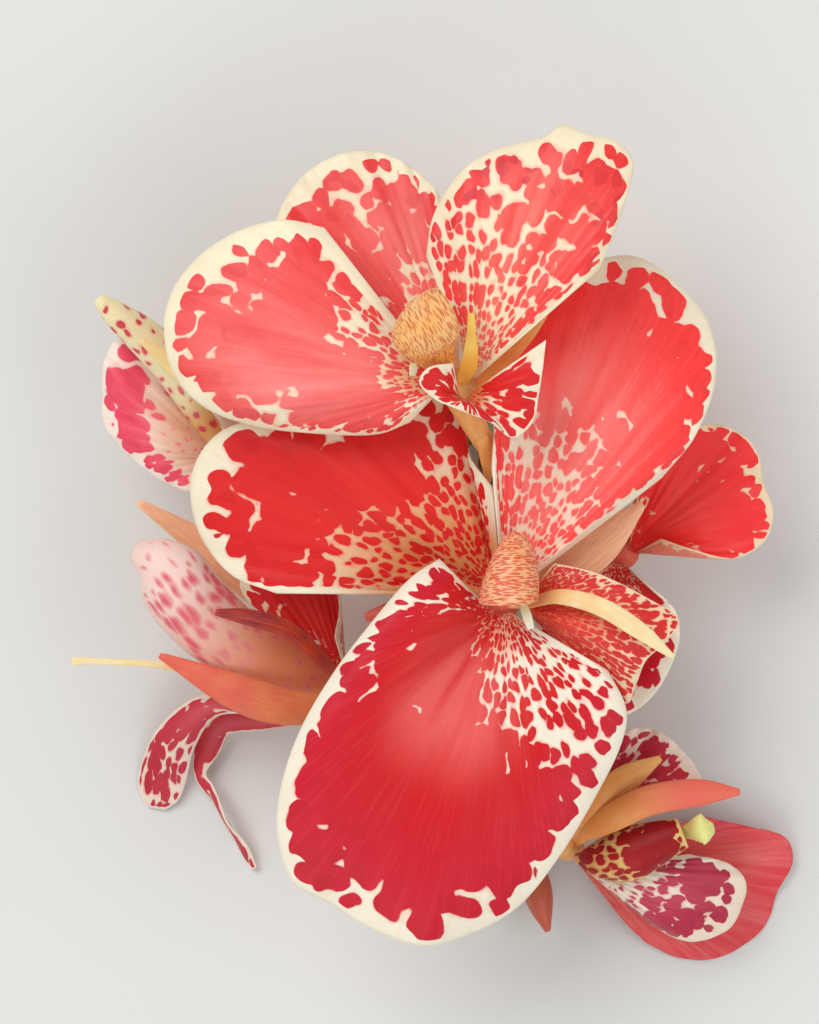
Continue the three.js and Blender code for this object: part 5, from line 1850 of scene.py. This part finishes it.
@dataclass(frozen=True)
class LeftLowerFlower(Flower):
    """A fading flower on the left, seen from its side."""

    prefix: str = "left_lower"
    base: Base = Base((14.4, -30, 4.9), (-1, -0.05, 0.35), 0.95)
    tube: Rows = (
        (-5.4, -32, 12.4, 2.3), (-10, -34.6, 16, 3), (-13.6, -37.6, 20, 3.6),
    )
    petals: tuple[StrapBlade, ...] = (
        petal(
            (-0.25, -0.95, 0),
            (-12.6, -38.6, 19.4, 1.3, 40), (-16, -40.2, 26, 2.4, 60), (-24, -40.6, 31, 3.8, 70),
            (-35, -37.4, 32.8, 4, 60), (-51.5, -29.6, 31.6, 0.6, 20),
        ),
        petal(
            (-0.65, -0.75, 0),
            (-12.6, -35.4, 18.8, 1.8, 60), (-25, -22.5, 21, 3.4, 50), (-38.5, -10, 24, 3.6, 40),
            (-56, 2, 29, 0.7, 20),
            marking=PAINTED_LIGHT_TINTED,
        ),
        petal(
            (1, 0.2, 0),
            (-11.2, -38, 18, 1.6, 60), (-10, -49, 20, 3.2, 50), (-8, -59, 19, 3.2, 40),
            (-6, -69, 16, 0.7, 20),
        ),
    )
    petal_coat: Coat = Coat.SALMON_PETAL
    hooded_staminode: Blade = StrapBlade(
        coat=Coat.FADED_PETAL,
        marking=Marking(
            cell=2.2, stretch=(2.8, 1.9), solid_from=(0.45, 0.45, 0.45), solid=0.46, sparse=0.14,
            fade=0.75, warm=0.8,
        ),
        spine=(
            (-16, -37, 21.6, 1.2, 40), (-24.5, -33.4, 27.6, 6.4, 110), (-35, -28, 32.6, 9, 130),
            (-43, -20.6, 37, 10, 135), (-48.6, -13.6, 39.6, 10, 150), (-53, -9, 39, 7, 150),
            (-56.6, -7.4, 35.4, 3, 110),
        ),
        side=(-0.6, -0.75, 0),
        across=44,
        along=80,
    )
    staminode_behind: Blade = BroadBlade(
        coat=Coat.FRONT_PETAL,
        marking=Marking(solid_from=(0.2, 0.2, 0.2), margin=(1.5, 1.5, 1.5)),
        claw=((-13.2, -34, 21.6), (-14.8, -34.2, 21.2)),
        outline=(
            (-15.4, -26, 28.6, 0), (-14.4, -18, 29, 0), (-16, -11, 29, 0), (-22, -7, 29, 1),
            (-30, -8, 29, 1), (-35, -14, 29, 1), (-33, -20, 26.4, 0),
        ),
    )
    stamen: Blade = StrapBlade(
        coat=Coat.STRIP,
        spine=(
            (-14, -36, 22.4, 0.7, 40), (-16.6, -31.8, 33, 1.5, 80), (-24.5, -24.4, 39, 2, 110),
            (-32.5, -21.6, 42.8, 1.9, 110), (-39.4, -20.4, 44.6, 0.6, 40),
        ),
        side=(-0.3, -0.95, 0),
    )
    style: Blade = StrapBlade(
        coat=Coat.STYLE,
        spine=(
            (-15.8, -38.6, 20, 0.6), (-23, -40, 23, 0.7), (-33, -37.8, 24, 0.8), (-48.5, -32.4, 24, 0.7),
            (-64, -31, 25, 0.6), (-70, -31, 26, 0.9),
        ),
        side=(0, -1, 0),
    )
    hanging_staminode: Blade = StrapBlade(
        coat=Coat.HANGING_PETAL,
        marking=Marking(
            cell=1.7, stretch=(3.0, 1.8), solid_from=(0.55, 0.55, 0.55), solid=0.44, sparse=0.85,
            side=0.4,
        ),
        spine=(
            (-16.1, -40.2, 17.6, 0.9, 20), (-31, -40.4, 17.8, 1.8, 30), (-42.4, -41, 15, 2.8, 40),
            (-49.4, -48, 9, 4.4, 40), (-52.4, -55.4, 3.4, 5.2, 30), (-53.4, -60.4, 1.4, 4.4, 10),
            (-53.8, -63.2, 0.8, 1.8),
        ),
        side=(0.8, -0.5, 0),
        across=34,
    )
    twisted_staminode: Blade = StrapBlade(
        coat=Coat.HANGING_PETAL,
        marking=Marking(cell=2.0, solid_from=(0.3, 0.3, 0.3), solid=0.9, sparse=0.7, side=0.35),
        spine=(
            (-13.6, -40.2, 16.2, 0.9), (-28, -44, 10.4, 1.8, 30), (-39.6, -45, 6.6, 2.8, 60),
            (-43, -50, 4.6, 3, 70), (-44.6, -55.6, 3.6, 1.4, 40, 20), (-42, -60, 4, 1.6, 40, 60),
            (-39.4, -65.4, 4, 2.2, 60, 80), (-36, -70.8, 3, 2, 60, 40), (-33, -76, 1.4, 0.6, 20),
        ),
        side=(0.8, -0.5, 0),
        across=22,
        along=90,
    )


@dataclass(frozen=True)
class RightLowerFlower(Flower):
    """A fading flower on the lower right, its petals fallen forward."""

    prefix: str = "right_lower"
    base: Base = Base((24.2, -60.4, 6.6), (0.5, -0.5, 0.6), 0.75)
    tube: Rows = (
        (32.6, -69, 16.6, 2.3), (33.6, -70, 19, 3.2),
    )
    petals: tuple[StrapBlade, ...] = (
        petal(
            (-0.3, 0.95, 0),
            (34.2, -69.2, 18, 1.3, 50), (36, -66.8, 24.4, 2, 60), (41.6, -63.4, 29, 3, 60),
            (49.5, -59.6, 31, 3.2, 60), (60, -58, 30, 2.8, 50), (68.4, -58, 28, 0.6, 20),
            marking=TIPPED,
        ),
        petal(
            (-0.7, 0.7, 0),
            (33.2, -68.6, 18, 1.3, 50), (34, -66.6, 23, 2, 60), (38, -61.4, 27, 2.8, 60),
            (44.6, -55.6, 27.4, 3, 50), (52, -51, 27.4, 0.6, 20),
        ),
        petal(
            (0.3, 0.95, 0),
            (34, -70.8, 16.2, 1.3, 50), (44, -75.6, 14.8, 2.6, 50), (54, -79, 12, 2.6, 40),
            (64, -80.6, 9, 0.6, 20),
        ),
    )
    petal_coat: Coat = Coat.ORANGE_PETAL
    staminode_behind: Blade = BroadBlade(
        coat=Coat.HANGING_PETAL,
        marking=Marking(
            per_radian=16.0, solid_from=(0.5, 0.4, 0.6), solid=0.62, sparse=0.5,
            margin=(0.2, 0.2, 0.2), side=0.5,
        ),
        claw=((36.8, -67.8, 18.7), (35.6, -66.4, 18.7)),
        outline=(
            (60.6, -60.4, 22, 0), (61, -56.6, 22.6, 0), (59.4, -53, 23.4, 0), (57, -50, 24, 0),
            (53.6, -46.8, 24, 0), (49.4, -45, 24, 0), (45, -45.6, 23.4, 0), (39.6, -49, 22.4, 0),
            (36.6, -54, 22, 0),
        ),
        waves=3,
        wave_height=0.5,
    )
    labellum: Blade = StrapBlade(
        coat=Coat.DARK_PETAL,
        marking=Marking(
            cell=1.9, stretch=(1.5, 1.2), solid_from=(0.55, 0.55, 0.55), solid=0.76, sparse=0.44,
            side=0.5,
        ),
        spine=(
            (34.6, -72, 21.2, 1.2, 40), (38.2, -72.8, 24.6, 5, 130), (44.6, -71.4, 27.6, 7.4, 140),
            (51, -68.8, 28.4, 6.4, 160), (56.6, -66.6, 28.6, 4.2, 150),
        ),
        side=(-0.25, 0.95, 0),
        across=44,
    )
    stamen: Blade = StrapBlade(
        coat=Coat.GREEN_TIP,
        spine=(
            (35.4, -71.4, 19.9, 0.6), (39, -71.8, 20.6, 0.9, 20), (45, -70.8, 23.2, 1.2, 20),
            (52, -68.4, 24.8, 1.3, 20), (57, -66.6, 25.6, 1.3, 30), (59.4, -65.8, 29.8, 3, 60),
            (61, -65.6, 30.6, 3.2, 60), (63, -65.4, 28.8, 1, 40),
        ),
        side=(-0.25, 0.95, 0),
        across=14,
    )
    staminode_pale: Blade = BroadBlade(
        coat=Coat.FALLEN_PETAL,
        marking=Marking(
            per_radian=12.0, solid_from=(0.65, 0.4, 0.6), solid=0.66, sparse=0.2,
            margin=(1.4, 1.8, 2.2),
        ),
        claw=((35.6, -73.8, 17.8), (37.2, -73.4, 18)),
        outline=(
            (46, -81, 16, 1), (53, -88, 14, 3), (60, -90.4, 13, 5), (67, -88, 12.6, 5), (70, -83, 13, 5),
            (70.6, -77.6, 14.4, 4), (66.4, -73.6, 16.4, 2), (58.5, -71.8, 18.4, 0),
        ),
        turn_back=1,
    )
    staminode_under: Blade = BroadBlade(
        coat=Coat.SALMON_BLADE,
        marking=PLAIN,
        claw=((34.4, -72.4, 14.6), (35.8, -71, 14.6)),
        outline=(
            (44.5, -85.6, 6, 0), (50.6, -91.6, 3, 0), (58, -95, 1, 0), (67, -94.6, 0.5, 0),
            (75.4, -88.6, 0.5, 0), (78.4, -80.6, 1.6, 0), (81.4, -74.6, 2.6, 0), (79.6, -69, 5, 0),
            (71, -66.4, 8, 0), (62.5, -64.4, 10, 0),
        ),
    )


@dataclass(frozen=True)
class RightUpperFlower(Flower):
    """A flower behind the front one, on the right."""

    prefix: str = "right_upper"
    base: Base = Base((23, -14, 4.6), (1, 0.12, 0.3), 0.95)
    tube: Rows = (
        (41.4, -11, 11, 2.2), (43.8, -9.4, 14.6, 2.6), (44.4, -8.6, 17.6, 3), (44.4, -8.4, 20.4, 3.6),
    )
    petals: tuple[StrapBlade, ...] = (
        petal(
            (-0.7, 0.7, 0),
            (45, -7, 18.4, 1.4, 60), (50, 2, 24.2, 3.2, 50), (57, 9, 26.4, 3.4, 40),
            (64, 17, 26, 0.6, 20),
        ),
        petal(
            (1, 0.1, 0),
            (44, -10, 18.4, 1.4, 60), (45, -20, 22.6, 3, 50), (46, -29, 22.6, 3, 40),
            (44, -38, 20.6, 0.6, 20),
        ),
        petal(
            (-0.93, -0.35, 0),
            (43, -7.4, 18.4, 1.4, 60), (36, 4, 24.6, 3, 50), (32, 14, 26.6, 3, 40), (28, 24, 26, 0.6, 20),
        ),
    )
    petal_coat: Coat = Coat.SALMON_PETAL
    staminode_right: Blade = BroadBlade(
        coat=Coat.RIGHT_PETAL,
        marking=Marking(
            per_radian=12.0, solid_from=(0.0, 0.0, 0.0), sparse=0.8, margin=(-1.6, -0.8, -1.6),
            side=0.3,
        ),
        claw=((47, -8.6, 21.8), (46, -6.6, 21.8)),
        outline=(
            (52, -5.6, 29, 0), (59, -8, 30, 1), (67, -9.6, 30, 1), (73.4, -6, 30, 1), (75, 0, 30, 2),
            (73, 6, 30.6, 2), (72, 12, 31, 2), (68, 16.4, 32, 1), (61.5, 18, 32.4, 1), (54, 15, 32, 0),
            (48, 9, 31, 0),
        ),
        waves=3,
        wave_height=0.7,
    )
    staminode_lower: Blade = BroadBlade(
        coat=Coat.LOWER_PETAL,
        marking=Marking(
            per_radian=11.0, stretch=(2.2, 1.3), solid_from=(0.4, 0.3, 0.4), solid=0.78, sparse=0.45,
            margin=(0.3, 0.3, 0.3), side=0.6,
        ),
        claw=((45, -11.2, 21.4), (42.4, -10.8, 21.4)),
        outline=(
            (50, -16, 35, 1), (54.6, -20.4, 36, 2), (55.4, -26, 36, 3), (53.4, -32.6, 35, 4),
            (49.4, -38.6, 34, 4), (44, -42, 33, 4), (36, -41.6, 32, 4), (29, -36.4, 31, 3),
            (26, -28.5, 30, 2), (27, -21, 29, 1),
        ),
        turn_back=1,
        waves=2,
        wave_height=0.5,
    )


@dataclass(frozen=True)
class Stem:
    """The cut stalk with its bracts, and the closed buds on it.

    Attributes:
        stalk: Rows of x, y and radius; it lies on the surface.
        bracts: Blades that clasp it under each flower.
        bud_tip: Rows of x, y, z and radius of the bud at the stalk's tip.
        bud_upper: The same of the one near the tip.
        bud_lower: The same of the one at the lower end.
    """

    stalk: Rows = (
        (18.6, -81, 4.6), (19, -60, 4.6), (19.2, -34, 4.2), (18.8, -6, 3.6), (19.2, 20, 3), (18.8, 46, 2),
    )
    bracts: tuple[StrapBlade, ...] = (
        petal(
            (1, 0, 0),
            (19.4, -41, 5.5, 2.5, 80), (19.6, -37, 9.6, 3.2, 90), (20, -33, 13, 1, 30),
        ),
        petal(
            (1, 0, 0),
            (19.6, -7, 4.5, 2.3, 80), (19.8, -2.6, 8.4, 2.8, 90), (20.2, 1.6, 11.6, 0.9, 30),
        ),
        petal(
            (0.3, -1, 0.3),
            (21, -51, 4.5, 2.5, 80), (26, -49, 4.4, 3.6, 90), (33, -46.6, 4.6, 1, 30),
        ),
        petal(
            (0, -1, -0.3),
            (17, -44, 4.5, 2.5, 80), (11.6, -43.6, 4, 3.4, 90), (4, -42.6, 4, 1, 30),
        ),
    )
    bud_tip: Rows = (
        (18.9, 46.6, 3.6, 1.4), (19.6, 52, 5.6, 3.4), (20.6, 58, 7.6, 3.9), (21.6, 66, 10.2, 0.7),
    )
    bud_upper: Rows = (
        (16, 41.2, 3.6, 1.2), (12, 45, 7, 2.9), (8.6, 49.5, 8.6, 3.2), (5, 56, 10, 0.7),
    )
    bud_lower: Rows = (
        (24.9, -72, 5.4, 1.2), (26, -76, 6.6, 2.9), (27.4, -82, 8, 3.1), (29.2, -88.5, 9.6, 0.7),
    )

    def build(self, slots: dict[str, str]) -> None:
        """Builds and dresses the stalk and the buds.

        Args:
            slots: Each node's material slot; not used.
        """
        rows = [(x, y, radius, radius) for x, y, radius in self.stalk]
        stalk = round_shell(rows, *STALK_MESH, dome=CUT_END, cut=True)
        shells = [stalk, *(bract.shell() for bract in self.bracts)]
        grow("stalk_and_bracts", shells, Coat.STALK)
        for node in ("bud_tip", "bud_upper", "bud_lower"):
            grow(node, [round_shell(getattr(self, node), *BUD_MESH, BUD_LOBES)], Coat.BUD)


# ------------------------------------------------------------------ studio


@dataclass(frozen=True)
class Studio:
    """A pale table, soft lamps and a camera straight above.

    Attributes:
        height: The camera's height over the flower faces, in metres.
        faces: Height of the flower faces over the table.
        frame: Long side of the picture at the flower faces.
        reach: How far the table reaches from the middle.
        ambient: Strength of the light from all round.
        sensor: Width of the camera's sensor, in millimetres.
        aim: What the lamps face, on the table.
        lamps: Name, place, side and power in watts of each lamp.
    """

    height: float = 0.9
    faces: float = 0.06
    frame: float = 0.2048
    reach: float = 3.0
    ambient: float = 0.52
    sensor: float = 36.0
    aim: tuple[float, float] = (0.0, 0.06)
    lamps: tuple[tuple[str, Row, float, float], ...] = (
        ("key", (-0.7, 0.75, 1.25), 1.0, 13.6),
        ("fill", (1.0, -0.3, 1.1), 1.2, 6.2),
        ("near", (-0.2, -1.1, 0.9), 0.9, 4.0),
    )

    def build(self) -> None:
        """Sets the table, the lamps and the camera."""
        mesh = bpy.data.meshes.new("table")
        signs = ((-1, -1), (1, -1), (1, 1), (-1, 1))
        corners = [(self.reach * across, self.reach * along, 0.0) for across, along in signs]
        mesh.from_pydata(corners, [], [(0, 1, 2, 3)])
        mesh.materials.append(self.paint())
        table = placed("table", mesh)
        for settings in self.lamps:
            self.lamp(*settings)
        world = bpy.data.worlds.new("studio")
        world.use_nodes = True
        background = world.node_tree.nodes["Background"]
        background.inputs["Color"].default_value = linear("#f1f3f6")
        background.inputs["Strength"].default_value = self.ambient
        bpy.context.scene.world = world
        bpy.context.scene.view_settings.view_transform = "Standard"
        self.camera()

    def paint(self) -> bpy.types.Material:
        """Mixes the table's matt paint, pale and dull so that nothing mirrors in it.

        Returns:
            The paint.
        """
        paint = bpy.data.materials.new("pale_matt_table")
        paint.use_nodes = True
        shader = paint.node_tree.nodes["Principled BSDF"]
        shader.inputs["Base Color"].default_value = linear("#dcdcd8")
        shader.inputs["Roughness"].default_value = 0.75
        return paint

    def lamp(self, name: str, place: Row, size: float, power: float) -> None:
        """Adds a soft square lamp that faces the flowers.

        Args:
            name: The lamp's name.
            place: Its place in metres.
            size: Its side in metres.
            power: Its power in watts.
        """
        light = bpy.data.lights.new(name, "AREA")
        light.size = size
        light.energy = power
        made = placed(name, light)
        made.location = place
        aim = np.array([*self.aim, self.faces]) - np.array(place)
        made.rotation_euler = (
            math.atan2(math.hypot(aim[0], aim[1]), -aim[2]),
            0.0,
            math.atan2(-aim[0], aim[1]),
        )

    def camera(self) -> None:
        """Adds the camera, straight above the middle of the head's front."""
        lens = bpy.data.cameras.new("above")
        lens.sensor_fit = "AUTO"
        lens.sensor_width = self.sensor
        lens.lens = self.sensor * self.height / self.frame
        lens.clip_end = 20.0
        eye = placed("above", lens)
        eye.location = (HEAD_TO_PART[0] * MM, HEAD_TO_PART[1] * MM, self.faces + self.height)
        bpy.context.scene.camera = eye


HEAD = (
    FrontFlower(),
    UpperFlower(),
    LeftUpperFlower(),
    LeftLowerFlower(),
    RightLowerFlower(),
    RightUpperFlower(),
)


def main() -> None:
    """Loads the frame, grows every piece, sets the studio and hands the scene over."""
    logging.basicConfig(level=logging.INFO, format="%(message)s")
    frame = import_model()
    slots = {part["node"]: part["material_slot"] for part in frame["record"]["subparts"]}
    Stem().build(slots)
    for flower in HEAD:
        flower.build(slots)
    Studio().build()


if __name__ == "__main__":
    main()
